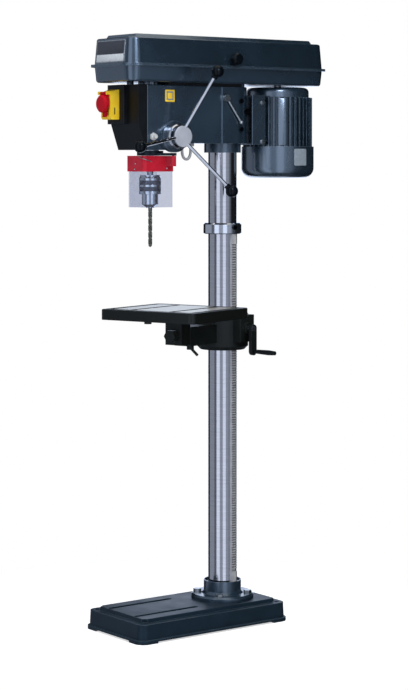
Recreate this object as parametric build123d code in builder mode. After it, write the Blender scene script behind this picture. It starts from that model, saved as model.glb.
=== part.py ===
from build123d import *
import os
from math import acos, asin, cos, degrees, pi, radians, sin, sqrt, tan

os.makedirs("parts", exist_ok=True)

# Millimetres. The origin is on the floor at the middle of the base, +Z up, the operator stands at -Y.

# Fits
running_gap = 0.05
free_gap = 0.3

# Base
base_width = 250.0
base_length = 466.0
base_corner = 26.0
base_wall = 9.0
base_deck = 12.0
skirt_height = 9.0
skirt_step = 5.0
rim_height = 47.0
base_draft = 3.0
plate_rise = 9.0
plate_inset = 17.0
plate_draft = 20.0
foot_length = 52.0
foot_rise = 4.0
floor_bolt_inset_x = 23.0
floor_bolt_inset_y = 26.0
floor_hole_radius = 6.5
floor_pad_radius = 12.5
floor_boss_radius = 15.0
base_slot_width = 14.0
base_slot_spacing = 114.0
base_slot_front = 29.0
base_slot_flange_gap = 42.0

# Column, flange and rack
column_radius = 36.5
column_wall = 4.0
column_setback = 122.0
column_top = 1340.0
flange_radius = 80.0
flange_thickness = 12.0
flange_rounding = 4.0
socket_radius = 48.0
socket_height = 45.0
flange_bolt_circle = 65.0
flange_bolt_radius = 5.0
flange_bolt_head = 9.0
flange_bolt_height = 7.0
rack_recess = 5.0
rack_width = 16.0
rack_thickness = 7.7
rack_module = 2.0
rack_plain_end = 26.0
collar_bottom = 989.0
collar_height = 28.0
collar_radius = 49.0
collar_chamfer = 4.0

# Head casting
throat = 227.0
head_width = 120.0
head_bottom = 1219.0
head_height = 144.0
head_nose = 52.0
head_wall = 8.0
head_rear_radius = 62.0
head_rounding = 5.0
head_edge = 2.5
nose_drop = 17.0
nose_width = 100.0
nose_back = 58.0
clamp_drop = 23.0
clamp_radius = 47.0
clamp_side_length = 49.0
cavity_back = 137.0
quill_sleeve_radius = 34.0
housing_gap = 6.0
drive_boss_radius = 30.0
idler_boss_radius = 20.0
post_radius = 9.0
post_side = 46.0
post_front = 24.0
post_rear = 24.0
set_screw_radius = 6.0
set_screw_stand = 5.0
set_screw_depth = 12.0
guide_screw_radius = 5.0
guide_screw_front = 34.0
guide_screw_stand = 14.0
guide_nut_radius = 8.5
guide_nut_height = 5.0
housing_bolt_radius = 5.0
housing_bolt_head = 8.0
housing_bolt_height = 5.0
housing_bolt_depth = 14.0

# Front cover and switch
cover_depth = 25.0
cover_wall = 3.0
cover_slope_top = 1266.0
cover_toe = 3.0
switch_box_depth = 12.0
switch_box_width = 70.0
switch_box_rounding = 4.0
switch_width = 40.0
switch_height = 74.0
switch_depth = 27.0
switch_left = 14.0
switch_bottom = 1277.0
switch_chamfer = 21.0
switch_toe = 4.5
pocket_width = 26.0
pocket_height = 54.0
pocket_depth = 14.0
lug_width = 5.0
lug_depth = 10.0
lug_height = 8.0
lug_drop = 9.0
paddle_pin_radius = 2.0
paddle_barrel_radius = 3.4
paddle_thickness = 4.5
paddle_tail = 59.0
paddle_tail_width = 15.0
mushroom_radius = 22.0
mushroom_drop = 26.0
mushroom_depth = 12.0
mushroom_rounding = 4.0
peg_radius = 4.0
peg_gap = 1.0
button_radius = 7.0
button_length = 14.0
button_stand = 6.0
button_travel = 3.0
button_spacing = 26.0

# Feed
feed_offset = 30.0
feed_z = 1235.0
feed_module = 1.5
feed_teeth = 14
feed_gear_width = 29.0
gear_end_gap = 1.0
feed_journal = 12.4
feed_shaft_radius = 9.0
feed_boss_radius = 39.0
feed_boss_stand = 6.0
depth_ring_radius = 31.0
depth_ring_width = 17.0
depth_ring_bevel = 3.0
hub_radius = 28.0
hub_width = 16.0
hub_bevel = 5.0
hub_spigot = 10.0
rod_radius = 4.5
rod_start = 14.0
rod_reach = 172.0
rod_lean = 64.0
rod_first_angle = 68.5
knob_radius = 15.5
spring_cap_radius = 32.0
spring_cap_width = 22.0
spring_cap_wall = 2.5
spring_width = 12.0
spring_strip = 0.8
spring_half_turns = 10

# Quill and spindle
quill_radius = 22.0
quill_bottom = 1188.0
quill_length = 162.0
quill_bore = 11.0
quill_travel = 80.0
bearing_radius = 17.5
bearing_width = 12.0
spindle_radius = 8.5
spindle_neck = 8.0
spindle_stub = 7.5
stub_length = 27.0
spindle_top = 1460.0
spline_root = 7.0
spline_width = 3.0
spline_count = 6
spline_bed = 1.0

# Chuck and drill
chuck_top = 1140.0
chuck_length = 80.0
chuck_cap_radius = 25.0
chuck_cap = 2.7
chuck_core_radius = 21.0
chuck_sleeve_radius = 27.5
chuck_sleeve_length = 45.0
chuck_sleeve_bevel = 2.5
chuck_nose_radius = 20.5
chuck_nose_tip = 11.0
chuck_cone = 7.0
flute_count = 18
flute_radius = 2.6
flute_length = 8.0
flute_rows = (9.0, 27.0)
drill_radius = 5.0
drill_tip = 960.0
drill_point = 3.0
drill_grip = 38.0
jaw_radius = 3.6
jaw_length = 27.0
jaw_start = 7.5
jaw_tilt = 12.0
jaw_bore_length = 40.0
jaw_stand = 2.0

# Chuck guard
guard_left = 41.0
guard_right = 37.0
guard_front = 45.0
guard_rear = 47.0
guard_right_rear = 44.0
guard_corner = 9.0
guard_wall = 3.0
guard_height = 39.0
guard_lip = 4.0
guard_lip_thickness = 3.0
shield_wall = 2.0
shield_drop = 89.0
shield_lap = 20.0
guard_pin_x = 57.0
guard_pin_y = 30.0
guard_pin_radius = 3.0
knuckle_radius = 7.0
knuckle_height = 26.0
guard_clamp_radius = 33.0
guard_clamp_height = 12.0
guard_arm_width = 16.0
guard_arm_height = 6.5
guard_knob_radius = 5.0
guard_knob_length = 11.0
guard_knob_back = 9.0
guard_knob_drop = 20.0

# Belt housing and lid
tray_width = 176.0
tray_length = 622.0
tray_corner = 30.0
tray_wall = 3.0
tray_back = 37.0
tray_depth = 41.0
tray_taper = 6.0
tray_rounding = 7.0
lip_stand = 9.0
lip_thickness = 3.0
lid_height = 67.0
lid_wall = 2.5
lid_taper = 5.0
lid_rounding = 5.0
panel_side_inset = 14.0
panel_end_inset = 24.0
panel_rise = 9.0
panel_draft = 35.0
lid_knob_y = 32.0
lid_knob_rise = 18.5
lid_knob_radius = 15.0
lid_knob_length = 27.0
hinge_reach = 7.0
hinge_spacing = 380.0
hinge_radius = 6.0
hinge_pin_radius = 3.0
hinge_knuckle = 26.0
hinge_web = 3.0

# Pulleys and belts
pulley_rise = 12.0
step_height = 17.0
spindle_steps = (104.0, 88.0, 72.0, 56.0)
idler_steps = (56.0, 72.0, 88.0, 104.0)
motor_steps = (104.0, 88.0, 72.0, 56.0)
belt_top = 10.0
belt_base = 6.5
belt_depth = 7.0
belt_outside = 3.0
pulley_rim = 4.0
groove_spare = 0.6
drive_sleeve_radius = 14.0
drive_bearing_width = 17.0
idler_reach = 66.0
idler_shaft_radius = 9.95
idler_shaft_length = 96.0

# Motor and its slide
motor_standoff = 0.5
motor_bottom = 1212.0
motor_height = 127.0
motor_core_radius = 80.0
motor_bore = 62.0
motor_end = 10.0
fin_radius = 90.5
fin_thickness = 3.0
fin_root = 2.0
fin_count = 40
motor_cap_radius = 81.5
motor_cap_height = 26.0
motor_cap_rounding = 12.0
fan_cover_radius = 94.5
fan_cover_height = 81.0
fan_cover_wall = 2.5
fan_cover_rounding = 26.0
vent_radius = 5.0
vent_circle = 45.0
vent_count = 14
rotor_radius = 58.0
rotor_margin = 14.0
motor_shaft_radius = 9.5
motor_shaft_bottom = 1150.0
fan_radius = 78.0
fan_hub = 22.0
fan_height = 34.0
fan_rise = 26.0
blade_count = 8
blade_thickness = 3.0
blade_root = 2.0
plate_width = 122.0
plate_gap = 16.0
plate_thickness = 12.0
plate_margin = 4.0
cheek_thickness = 4.0
cheek_reach = 29.0
cheek_rounding = 1.5
pad_width = 90.0
pad_margin = 13.0
rod_spacing = 96.0
slide_rod_radius = 8.0
slide_rod_z = 1300.0
slide_rod_depth = 110.0
slide_travel = 12.0
lever_y = 37.0
lever_z = 1333.0
lever_shaft_radius = 7.0
lever_shaft_depth = 18.0
lever_hub_radius = 9.0
lever_hub_width = 9.0
lever_length = 76.0
lever_angle = 53.0
lever_rod_radius = 3.2
lever_ball_radius = 5.5

# Cable under the head
cable_radius = 3.5
cable_x = 40.0
cable_front = 69.0
cable_route = ((0.0, 0.0), (0.0, -14.0), (0.8, -29.0), (8.0, -40.0),
               (19.0, -40.0), (26.2, -29.0), (27.0, -14.0), (27.0, 0.0))
lead_share = 0.45
gland_radius = 7.5
gland_height = 7.5

# Table and its bracket
table_swing = 19.0
gear_swing = 8.0
table_width = 279.0
table_depth = 250.0
table_reach = 213.0
table_top = 810.0
table_edge = 26.0
table_plate = 12.0
table_corner = 14.0
table_rim = 11.0
table_rounding = 2.5
table_groove_inset = 15.0
table_groove_width = 9.0
table_groove_depth = 4.0
table_slot_spacing = 118.0
table_slot_width = 14.0
table_slot_length = 210.0
drain_radius = 9.0
drain_inset = 10.0
drain_drop = 5.0
table_rib = 8.0
tilt_z = 742.0
lug_half_width = 24.0
lug_front = 220.0
arm_front = 180.0
arm_half_width = 24.0
arm_rise = 20.0
arm_sink = 28.0
lug_sink = 23.0
tilt_bolt_radius = 8.0
tilt_bolt_depth = 50.0
tilt_bolt_head = 14.0
tilt_head_height = 18.0
hub_outer_radius = 66.0
bracket_bottom = 694.0
bracket_height = 91.0
bracket_chamfer = 9.0
crank_z = 752.0
pinion_teeth = 12
pinion_width = 8.0
pinion_pin_radius = 5.0
pinion_pin_length = 40.0
worm_pitch_radius = 8.0
worm_core = 5.0
worm_addendum = 1.3
worm_thread = 3.2
worm_flank = 74.0
worm_length = 18.0
crank_shaft_radius = 7.0
crank_boss_radius = 15.0
gearbox_right = 88.0
gearbox_half_width = 25.0
gearbox_sink = 35.0
crank_boss_stand = 8.0
crank_stand = 16.0
crank_arm_length = 58.0
crank_arm_width = 20.0
crank_arm_thickness = 9.0
crank_grip_radius = 6.5
crank_grip_length = 72.0
crank_pin_radius = 3.0
lock_y = 163.0
lock_x = 12.0
lock_stud_radius = 6.0
lock_stud_depth = 16.0
lock_hub_radius = 9.0
lock_hub_height = 9.0
lock_rod_radius = 3.5
lock_rod_length = 28.0
lock_rod_slope = 40.0

# Places worked out from the sizes above
deck_top = rim_height + plate_rise
column_y = base_length / 2 - column_setback
spindle_y = column_y - throat
pinion_y = spindle_y + feed_offset
idler_y = column_y - idler_reach
plate_front_y = column_y + head_rear_radius + plate_gap
plate_back_y = plate_front_y + plate_thickness
motor_y = plate_back_y + motor_standoff + fin_radius
socket_top = deck_top + socket_height
head_top = head_bottom + head_height
head_front = spindle_y - head_nose
head_side = head_width / 2
nose_bottom = head_bottom - nose_drop
housing_bottom = head_top + housing_gap
lip_z = housing_bottom + tray_depth
tray_y = column_y - tray_back
lid_bottom = lip_z + free_gap
lid_rim = lid_bottom + lid_height
pulley_bottom = housing_bottom + pulley_rise
drive_level = len(spindle_steps) // 2 - 1
motor_level = len(motor_steps) // 2
quill_top = quill_bottom + quill_length
chuck_bottom = chuck_top - chuck_length
guard_top = quill_bottom - free_gap
guard_bottom = guard_top - guard_height
feed_pitch_radius = feed_module * feed_teeth / 2
pinion_pitch_radius = rack_module * pinion_teeth / 2
rack_face = column_radius + free_gap + rack_thickness
rack_recess_radius = sqrt(rack_face**2 + (rack_width / 2) ** 2) + free_gap
pinion_x = rack_face - rack_module * 0.75 + pinion_pitch_radius
pinion_z = crank_z - pinion_pitch_radius - worm_pitch_radius - free_gap / 2
motor_top = motor_bottom + motor_height
bracket_top = bracket_bottom + bracket_height

# Axes that turning pieces share
column_axis = Plane(origin=(0, column_y, 0))
spindle_axis = Plane(origin=(0, spindle_y, 0))
idler_axis = Plane(origin=(0, idler_y, 0))
motor_axis = Plane(origin=(0, motor_y, 0))
feed_axis = Plane(origin=(0, pinion_y, feed_z), x_dir=(0, 1, 0), z_dir=(1, 0, 0))

# The table and the lifting gear stand swung about the column
table_frame = Plane(Location((0, column_y, 0), (0, 0, table_swing)))
gear_frame = Plane(Location((0, column_y, 0), (0, 0, gear_swing)))
crank_axis = Plane(gear_frame.location * Location((0, 0, crank_z), (0, 90, 0)))
pinion_axis = Plane(gear_frame.location * Location((pinion_x, 0, pinion_z), (-90, 0, 0)))

on_end = (Align.CENTER, Align.CENTER, Align.MIN)


def placed(frame, plane):
    # A plane given in a frame's own directions
    return Plane(frame.location * plane.location)


def post(radius, bottom, top, x, y, mode=Mode.ADD):
    # Upright cylinder between two heights
    with Locations((x, y, bottom)):
        Cylinder(radius, top - bottom, align=on_end, mode=mode)


def cross_rod(radius, left, right, y, z, mode=Mode.ADD):
    # Cylinder lying from left to right
    with Locations((left, y, z)):
        Cylinder(radius, right - left, rotation=(0, 90, 0), align=on_end, mode=mode)


def long_rod(radius, front, back, x, z, mode=Mode.ADD):
    # Cylinder lying from front to back
    with Locations((x, front, z)):
        Cylinder(radius, back - front, rotation=(-90, 0, 0), align=on_end, mode=mode)


def block(left, right, front, back, bottom, top, mode=Mode.ADD):
    # Box between its six faces
    with Locations(((left + right) / 2, (front + back) / 2, (bottom + top) / 2)):
        Box(right - left, back - front, top - bottom, mode=mode)


def turned(points, axis, mode=Mode.ADD):
    # Full turn of (radius, height) points about a plane's own upright
    side = Plane(origin=axis.origin, x_dir=axis.x_dir, z_dir=-axis.y_dir)
    with BuildSketch(side) as outline:
        with BuildLine():
            Polyline(*points, close=True)
        make_face()
    revolve(outline.sketch, axis=Axis(axis.origin, axis.z_dir), mode=mode)


def prism(points, plane, amount, mode=Mode.ADD):
    # Straight-sided solid raised from a plane on an outline of points
    with BuildSketch(plane) as outline:
        with BuildLine():
            Polyline(*points, close=True)
        make_face()
    extrude(outline.sketch, amount=amount, mode=mode)


def hexagon(radius, plane, amount):
    # Six-sided head or nut, radius to its flats
    with BuildSketch(plane) as outline:
        RegularPolygon(radius, 6, major_radius=False)
    extrude(outline.sketch, amount=amount)


def rounded_plate(plane, width, length, corner, y, amount, taper=0.0, mode=Mode.ADD):
    # Rounded rectangle raised from a plane, its middle at y
    with BuildSketch(plane) as outline:
        with Locations((0, y)):
            RectangleRounded(width, length, corner)
    extrude(outline.sketch, amount=amount, taper=taper, mode=mode)


def gear_points(teeth, module, gap_angle):
    # Involute gear outline with a tooth gap towards gap_angle
    pressure = radians(20)
    pitch_radius = module * teeth / 2
    base_radius = pitch_radius * cos(pressure)
    tip_radius = pitch_radius + module * 0.85
    root_radius = pitch_radius - module * 1.15
    half_tooth = pi / (2 * teeth) - module * 0.06 / pitch_radius + tan(pressure) - pressure
    flank = []
    for step in range(5):
        radius = base_radius + (tip_radius - base_radius) * step / 4
        rolled = acos(min(1.0, base_radius / radius))
        flank.append((radius, half_tooth - tan(rolled) + rolled))
    flank = [(root_radius, flank[0][1])] + flank
    points = []
    for tooth in range(teeth):
        middle = radians(gap_angle) + (tooth + 0.5) * 2 * pi / teeth
        for radius, angle in flank:
            points.append((radius * cos(middle - angle), radius * sin(middle - angle)))
        for radius, angle in reversed(flank):
            points.append((radius * cos(middle + angle), radius * sin(middle + angle)))
    return points


def rack_points(face, back, bottom, top, module, middle):
    # Toothed edge between two heights, with a tooth centred at the height called middle
    pitch = pi * module
    slope = tan(radians(20))
    depth = module * 1.9
    half_tip = pitch / 4 - module * 0.06 - module * 0.75 * slope
    half_root = half_tip + depth * slope
    first = -int((middle - bottom - half_root) / pitch)
    last = int((top - middle - half_root) / pitch)
    points = [(back, bottom), (face - depth, bottom)]
    for tooth in range(first, last + 1):
        z = middle + tooth * pitch
        points += [(face - depth, z - half_root), (face, z - half_tip)]
        points += [(face, z + half_tip), (face - depth, z + half_root)]
    return points + [(face - depth, top), (back, top)]


def pulley_points(steps, bore):
    # Stepped cone with a vee groove in each step, from the bottom step up
    points = [(bore, pulley_bottom)]
    groove_top = belt_top / 2 + running_gap
    for level, pitch in enumerate(steps):
        middle = pulley_bottom + step_height * (level + 0.5)
        rim = pitch / 2 + pulley_rim
        floor = pitch / 2 + belt_outside - belt_depth - groove_spare
        slope = (belt_top - belt_base) / 2 / belt_depth
        wide = groove_top + free_gap + slope * (rim - pitch / 2 - belt_outside)
        narrow = belt_base / 2 + free_gap
        points += [(rim, middle - step_height / 2), (rim, middle - wide), (floor, middle - narrow)]
        points += [(floor, middle + narrow), (rim, middle + wide), (rim, middle + step_height / 2)]
    return points + [(bore, pulley_bottom + step_height * len(steps))]


def belt_loop(front_y, front_pitch, back_y, back_pitch, level):
    # Vee belt round two pulleys: its section carried along two runs and two arcs
    middle = pulley_bottom + step_height * (level + 0.5)
    front_r = front_pitch / 2
    back_r = back_pitch / 2
    lean = degrees(asin((front_r - back_r) / (back_y - front_y)))
    front_end = (front_r * cos(radians(lean)), front_y + front_r * sin(radians(lean)))
    back_end = (back_r * cos(radians(lean)), back_y + back_r * sin(radians(lean)))
    with BuildLine(Plane.XY.offset(middle)) as path:
        Line(front_end, back_end)
        CenterArc((0, back_y), back_r, lean, 180 - 2 * lean)
        Line((-back_end[0], back_end[1]), (-front_end[0], front_end[1]))
        CenterArc((0, front_y), front_r, 180 - lean, 180 + 2 * lean)
    start = path.line @ 0
    with BuildSketch(Plane(origin=start, x_dir=(cos(radians(lean)), sin(radians(lean)), 0),
                           z_dir=path.line % 0)) as section:
        with BuildLine():
            Polyline((belt_outside, belt_top / 2), (belt_outside, -belt_top / 2),
                     (belt_outside - belt_depth, -belt_base / 2),
                     (belt_outside - belt_depth, belt_base / 2), close=True)
        make_face()
    sweep(section.sketch, path=path.line)


# Base

with BuildPart() as base:
    rounded_plate(Plane.XY, base_width, base_length, base_corner, 0, skirt_height)
    wall_width = base_width - 2 * skirt_step
    wall_length = base_length - 2 * skirt_step
    rounded_plate(Plane.XY.offset(skirt_height), wall_width, wall_length, base_corner - skirt_step, 0,
                  rim_height - skirt_height, base_draft)
    lean_in = (rim_height - skirt_height) * tan(radians(base_draft))
    plate_loss = 2 * (skirt_step + lean_in + plate_inset)
    rounded_plate(Plane.XY.offset(rim_height), base_width - plate_loss, base_length - plate_loss,
                  base_corner / 2, 0, plate_rise, plate_draft)
    fillet(base.edges().group_by(Axis.Z)[-1], plate_rise / 6)
    hollow_loss = 2 * (skirt_step + lean_in + base_wall)
    rounded_plate(Plane.XY, base_width - hollow_loss, base_length - hollow_loss, base_corner / 2, 0,
                  deck_top - base_deck - plate_rise, mode=Mode.SUBTRACT)
    block(-base_width, base_width, foot_length - base_length / 2, base_length / 2 - foot_length,
          0, foot_rise, Mode.SUBTRACT)
    block(foot_length - base_width / 2, base_width / 2 - foot_length, -base_length, base_length,
          0, foot_rise, Mode.SUBTRACT)
    with GridLocations(base_width - 2 * floor_bolt_inset_x, base_length - 2 * floor_bolt_inset_y, 2, 2):
        Cylinder(floor_boss_radius, rim_height - base_deck / 2, align=on_end)
        with Locations((0, 0, rim_height)):
            Cylinder(floor_pad_radius, plate_rise * 2, align=on_end, mode=Mode.SUBTRACT)
        Cylinder(floor_hole_radius, deck_top, align=on_end, mode=Mode.SUBTRACT)
    with BuildSketch(Plane.XY.offset(deck_top)):
        slot_front = base_slot_front - base_length / 2
        slot_rear = column_y - flange_radius - base_slot_flange_gap
        with Locations((0, (slot_front + slot_rear) / 2)):
            with GridLocations(base_slot_spacing, 0, 2, 1):
                SlotOverall(slot_rear - slot_front, base_slot_width, rotation=90)
    extrude(amount=-deck_top, mode=Mode.SUBTRACT)
    with Locations((0, column_y, 0)):
        with PolarLocations(flange_bolt_circle, 4, start_angle=45):
            Cylinder(flange_bolt_radius, deck_top, align=on_end, mode=Mode.SUBTRACT)
base.part.label = "base"
export_step(base.part, "parts/base.step")

# Column and what holds its foot

with BuildPart() as column_flange:
    foot_points = [(column_radius + running_gap, deck_top), (flange_radius, deck_top),
                   (flange_radius, deck_top + flange_thickness - flange_rounding),
                   (flange_radius - flange_rounding, deck_top + flange_thickness),
                   (socket_radius + flange_rounding * 1.5, deck_top + flange_thickness),
                   (socket_radius, deck_top + flange_thickness + flange_rounding * 1.5),
                   (socket_radius, socket_top), (rack_recess_radius, socket_top),
                   (rack_recess_radius, socket_top - rack_recess),
                   (column_radius + running_gap, socket_top - rack_recess)]
    turned(foot_points, column_axis)
    with Locations((0, column_y, deck_top)):
        with PolarLocations(flange_bolt_circle, 4, start_angle=45):
            Cylinder(flange_bolt_radius, flange_thickness * 2, align=on_end, mode=Mode.SUBTRACT)
column_flange.part.label = "column_flange"
export_step(column_flange.part, "parts/column_flange.step")

with BuildPart() as flange_bolts:
    bolt_seat = deck_top + flange_thickness
    with Locations((0, column_y, deck_top - base_deck)):
        with PolarLocations(flange_bolt_circle, 4, start_angle=45):
            Cylinder(flange_bolt_radius, base_deck + flange_thickness, align=on_end)
    with BuildSketch(Plane.XY.offset(bolt_seat)):
        with Locations((0, column_y)):
            with PolarLocations(flange_bolt_circle, 4, start_angle=45):
                RegularPolygon(flange_bolt_head, 6, major_radius=False)
    extrude(amount=flange_bolt_height)
flange_bolts.part.label = "flange_bolts"
export_step(flange_bolts.part, "parts/flange_bolts.step")

with BuildPart() as column:
    post(column_radius, deck_top, column_top, 0, column_y)
    post(column_radius - column_wall, deck_top, column_top, 0, column_y, Mode.SUBTRACT)
column.part.label = "column"
export_step(column.part, "parts/column.step")

with BuildPart() as rack_collar:
    collar_top = collar_bottom + collar_height
    turned([(rack_recess_radius, collar_bottom), (collar_radius - collar_chamfer / 2, collar_bottom),
            (collar_radius, collar_bottom + collar_chamfer / 2),
            (collar_radius, collar_top - collar_chamfer), (collar_radius - collar_chamfer, collar_top),
            (column_radius + running_gap, collar_top),
            (column_radius + running_gap, collar_bottom + rack_recess),
            (rack_recess_radius, collar_bottom + rack_recess)], column_axis)
    cross_rod(set_screw_radius, column_radius, collar_radius, column_y, collar_bottom + collar_height * 0.6,
              Mode.SUBTRACT)
rack_collar.part.label = "rack_collar"
export_step(rack_collar.part, "parts/rack_collar.step")

with BuildPart(gear_frame) as rack:
    rack_bottom = socket_top - rack_recess + free_gap
    rack_top = collar_bottom + rack_recess - free_gap
    teeth_bottom = socket_top + rack_plain_end
    teeth_top = collar_bottom - rack_plain_end
    side_plane = placed(gear_frame, Plane.XZ.offset(-rack_width / 2))
    rack_outline = rack_points(rack_face, column_radius - column_wall, teeth_bottom, teeth_top, rack_module,
                               pinion_z)
    prism(rack_outline, side_plane, rack_width)
    block(column_radius - column_wall, rack_face, -rack_width / 2, rack_width / 2, rack_bottom, teeth_bottom)
    block(column_radius - column_wall, rack_face, -rack_width / 2, rack_width / 2, teeth_top, rack_top)
    post(column_radius + free_gap, rack_bottom, rack_top, 0, 0, Mode.SUBTRACT)
rack.part.label = "rack"
export_step(rack.part, "parts/rack.step")

# Head casting and what is bolted to it

lever_pivot_y = column_y - lever_y
set_screw_heights = (head_bottom + head_height * 0.25, head_bottom + head_height * 0.75)
set_screw_y = column_y + set_screw_radius * 2
set_screw_left = sqrt(head_rear_radius**2 - (2 * set_screw_radius)**2) - set_screw_depth
housing_posts = [(-post_side, head_front + post_front), (post_side, head_front + post_front),
                 (-post_side, column_y + post_rear), (post_side, column_y + post_rear)]
guide_screw_y = spindle_y - guide_screw_front

with BuildPart() as head_casting:
    with BuildSketch(Plane.XY.offset(head_bottom)):
        with Locations((0, (head_front + column_y) / 2)):
            Rectangle(head_width, column_y - head_front)
        with Locations((0, column_y)):
            Circle(head_rear_radius)
    extrude(amount=head_height)
    fillet(head_casting.edges().filter_by(Axis.Z).group_by(Axis.Y)[0], head_edge)
    fillet(head_casting.edges().group_by(Axis.Z)[-1], head_rounding / 2)
    step = head_rear_radius - head_side
    clamp_front = column_y - clamp_side_length
    prism([(-head_side, clamp_front), (head_side, clamp_front), (head_rear_radius, clamp_front + step),
           (head_rear_radius, column_y), (-head_rear_radius, column_y),
           (-head_rear_radius, clamp_front + step)],
          Plane.XY.offset(head_bottom), head_height - head_rounding / 2)
    block(head_wall - head_side, head_side - head_wall, head_front, column_y - cavity_back + cover_wall,
          head_bottom + head_wall, head_top - head_wall, Mode.SUBTRACT)
    block(-nose_width / 2, nose_width / 2, head_front, spindle_y + nose_back, nose_bottom, head_bottom)
    post(quill_sleeve_radius, nose_bottom, head_top, 0, spindle_y)
    post(clamp_radius, head_bottom - clamp_drop, head_bottom, 0, column_y)
    cross_rod(feed_boss_radius, head_side - head_wall, head_side + feed_boss_stand, pinion_y, feed_z)
    post(drive_boss_radius, head_top - head_wall, housing_bottom, 0, spindle_y)
    post(idler_boss_radius, head_top - head_wall, housing_bottom, 0, idler_y)
    for x, y in housing_posts:
        post(post_radius, head_top - head_wall, housing_bottom, x, y)
        post(housing_bolt_radius, housing_bottom - housing_bolt_depth, housing_bottom, x, y, Mode.SUBTRACT)
    post(quill_radius + running_gap, nose_bottom, housing_bottom, 0, spindle_y, Mode.SUBTRACT)
    post(column_radius + running_gap, head_bottom - clamp_drop, column_top + free_gap, 0, column_y,
         Mode.SUBTRACT)
    post(idler_shaft_radius + running_gap, pulley_bottom - idler_shaft_length - free_gap, housing_bottom,
         0, idler_y, Mode.SUBTRACT)
    cross_rod(feed_journal + running_gap, -feed_gear_width / 2 - gear_end_gap, head_width, pinion_y, feed_z,
              Mode.SUBTRACT)
    cross_rod(feed_shaft_radius + running_gap, -head_width, 0, pinion_y, feed_z, Mode.SUBTRACT)
    for side in (-1, 1):
        long_rod(slide_rod_radius + running_gap, column_y - slide_rod_depth, column_y + head_rear_radius,
                 side * rod_spacing / 2, slide_rod_z, Mode.SUBTRACT)
    cross_rod(lever_shaft_radius + running_gap, head_side - lever_shaft_depth - free_gap, head_width,
              lever_pivot_y, lever_z, Mode.SUBTRACT)
    for z in set_screw_heights:
        cross_rod(set_screw_radius, set_screw_left, head_width, set_screw_y, z, Mode.SUBTRACT)
    cross_rod(guide_screw_radius, head_side - head_wall, head_side, guide_screw_y, feed_z, Mode.SUBTRACT)
    for route_y, route_z in (cable_route[0], cable_route[-1]):
        post(cable_radius, head_bottom + route_z, head_bottom + head_wall, cable_x,
             spindle_y + cable_front + route_y, Mode.SUBTRACT)
head_casting.part.label = "head_casting"
export_step(head_casting.part, "parts/head_casting.step")

with BuildPart() as head_screws:
    for z in set_screw_heights:
        cross_rod(set_screw_radius, set_screw_left, set_screw_left + set_screw_depth + set_screw_stand,
                  set_screw_y, z)
    cross_rod(guide_screw_radius, head_side - head_wall, head_side + guide_screw_stand, guide_screw_y,
              feed_z)
    nut_plane = Plane(origin=(head_side, guide_screw_y, feed_z), z_dir=(1, 0, 0))
    hexagon(guide_nut_radius, nut_plane, guide_nut_height)
    cross_rod(set_screw_radius, column_radius + running_gap, collar_radius + set_screw_stand, column_y,
              collar_bottom + collar_height * 0.6)
    for x, y in housing_posts:
        post(housing_bolt_radius, housing_bottom - housing_bolt_depth, housing_bottom + tray_wall, x, y)
        hexagon(housing_bolt_head, Plane((x, y, housing_bottom + tray_wall)), housing_bolt_height)
head_screws.part.label = "head_screws"
export_step(head_screws.part, "parts/head_screws.step")

cover_front = head_front - cover_depth
box_front = cover_front - switch_box_depth
box_right = switch_box_width - head_side
with BuildPart() as front_cover:
    side_points = [(head_front, head_top), (cover_front, head_top), (cover_front, cover_slope_top),
                   (head_front - cover_toe, nose_bottom), (head_front, nose_bottom)]
    prism(side_points, Plane.YZ.offset(-head_side), head_width)
    block(-head_side, box_right, box_front, cover_front, cover_slope_top, head_top)
    upright_edges = front_cover.edges().filter_by(Axis.Z).sort_by(Axis.Y)[0:2]
    fillet(upright_edges, switch_box_rounding)
    block(cover_wall - head_side, head_side - cover_wall, cover_front + cover_wall, head_front,
          cover_slope_top, head_top - cover_wall, Mode.SUBTRACT)
    block(cover_wall - head_side, box_right - cover_wall, box_front + cover_wall, head_front,
          cover_slope_top + cover_wall, head_top - cover_wall, Mode.SUBTRACT)
front_cover.part.label = "front_cover"
export_step(front_cover.part, "parts/front_cover.step")

# Switch

switch_x = switch_left - head_side + switch_width / 2
switch_front = box_front - switch_depth
switch_top = switch_bottom + switch_height
switch_middle = switch_bottom + switch_height / 2
paddle_pin_y = switch_front - paddle_barrel_radius - free_gap
paddle_pin_z = switch_top - lug_drop
button_heights = (switch_middle + button_spacing / 2, switch_middle - button_spacing / 2)
pocket_floor = switch_front + pocket_depth
button_bore_end = pocket_floor - button_stand + button_length + button_travel + free_gap

with BuildPart() as switch_housing:
    switch_points = [(box_front, switch_bottom), (box_front, switch_top),
                     (switch_front + switch_chamfer, switch_top),
                     (switch_front, switch_top - switch_chamfer / 3),
                     (switch_front, switch_bottom + switch_toe),
                     (switch_front + switch_toe, switch_bottom)]
    prism(switch_points, Plane.YZ.offset(switch_x - switch_width / 2), switch_width)
    block(switch_x - pocket_width / 2, switch_x + pocket_width / 2, switch_front, pocket_floor,
          switch_middle - pocket_height / 2, switch_middle + pocket_height / 2, Mode.SUBTRACT)
    for z in button_heights:
        long_rod(button_radius + running_gap, pocket_floor, button_bore_end, switch_x, z, Mode.SUBTRACT)
    lug_front_face = switch_front - lug_depth
    lug_low = paddle_pin_z - lug_height / 2
    block(switch_x - switch_width / 2, switch_x - switch_width / 2 + lug_width, lug_front_face,
          switch_front + switch_chamfer, lug_low, lug_low + lug_height)
    block(switch_x + switch_width / 2 - lug_width, switch_x + switch_width / 2, lug_front_face,
          switch_front + switch_chamfer, lug_low, lug_low + lug_height)
    cross_rod(paddle_pin_radius, switch_x - switch_width / 2, switch_x + switch_width / 2,
              paddle_pin_y, paddle_pin_z)
switch_housing.part.label = "switch_housing"
export_step(switch_housing.part, "parts/switch_housing.step")

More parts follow.
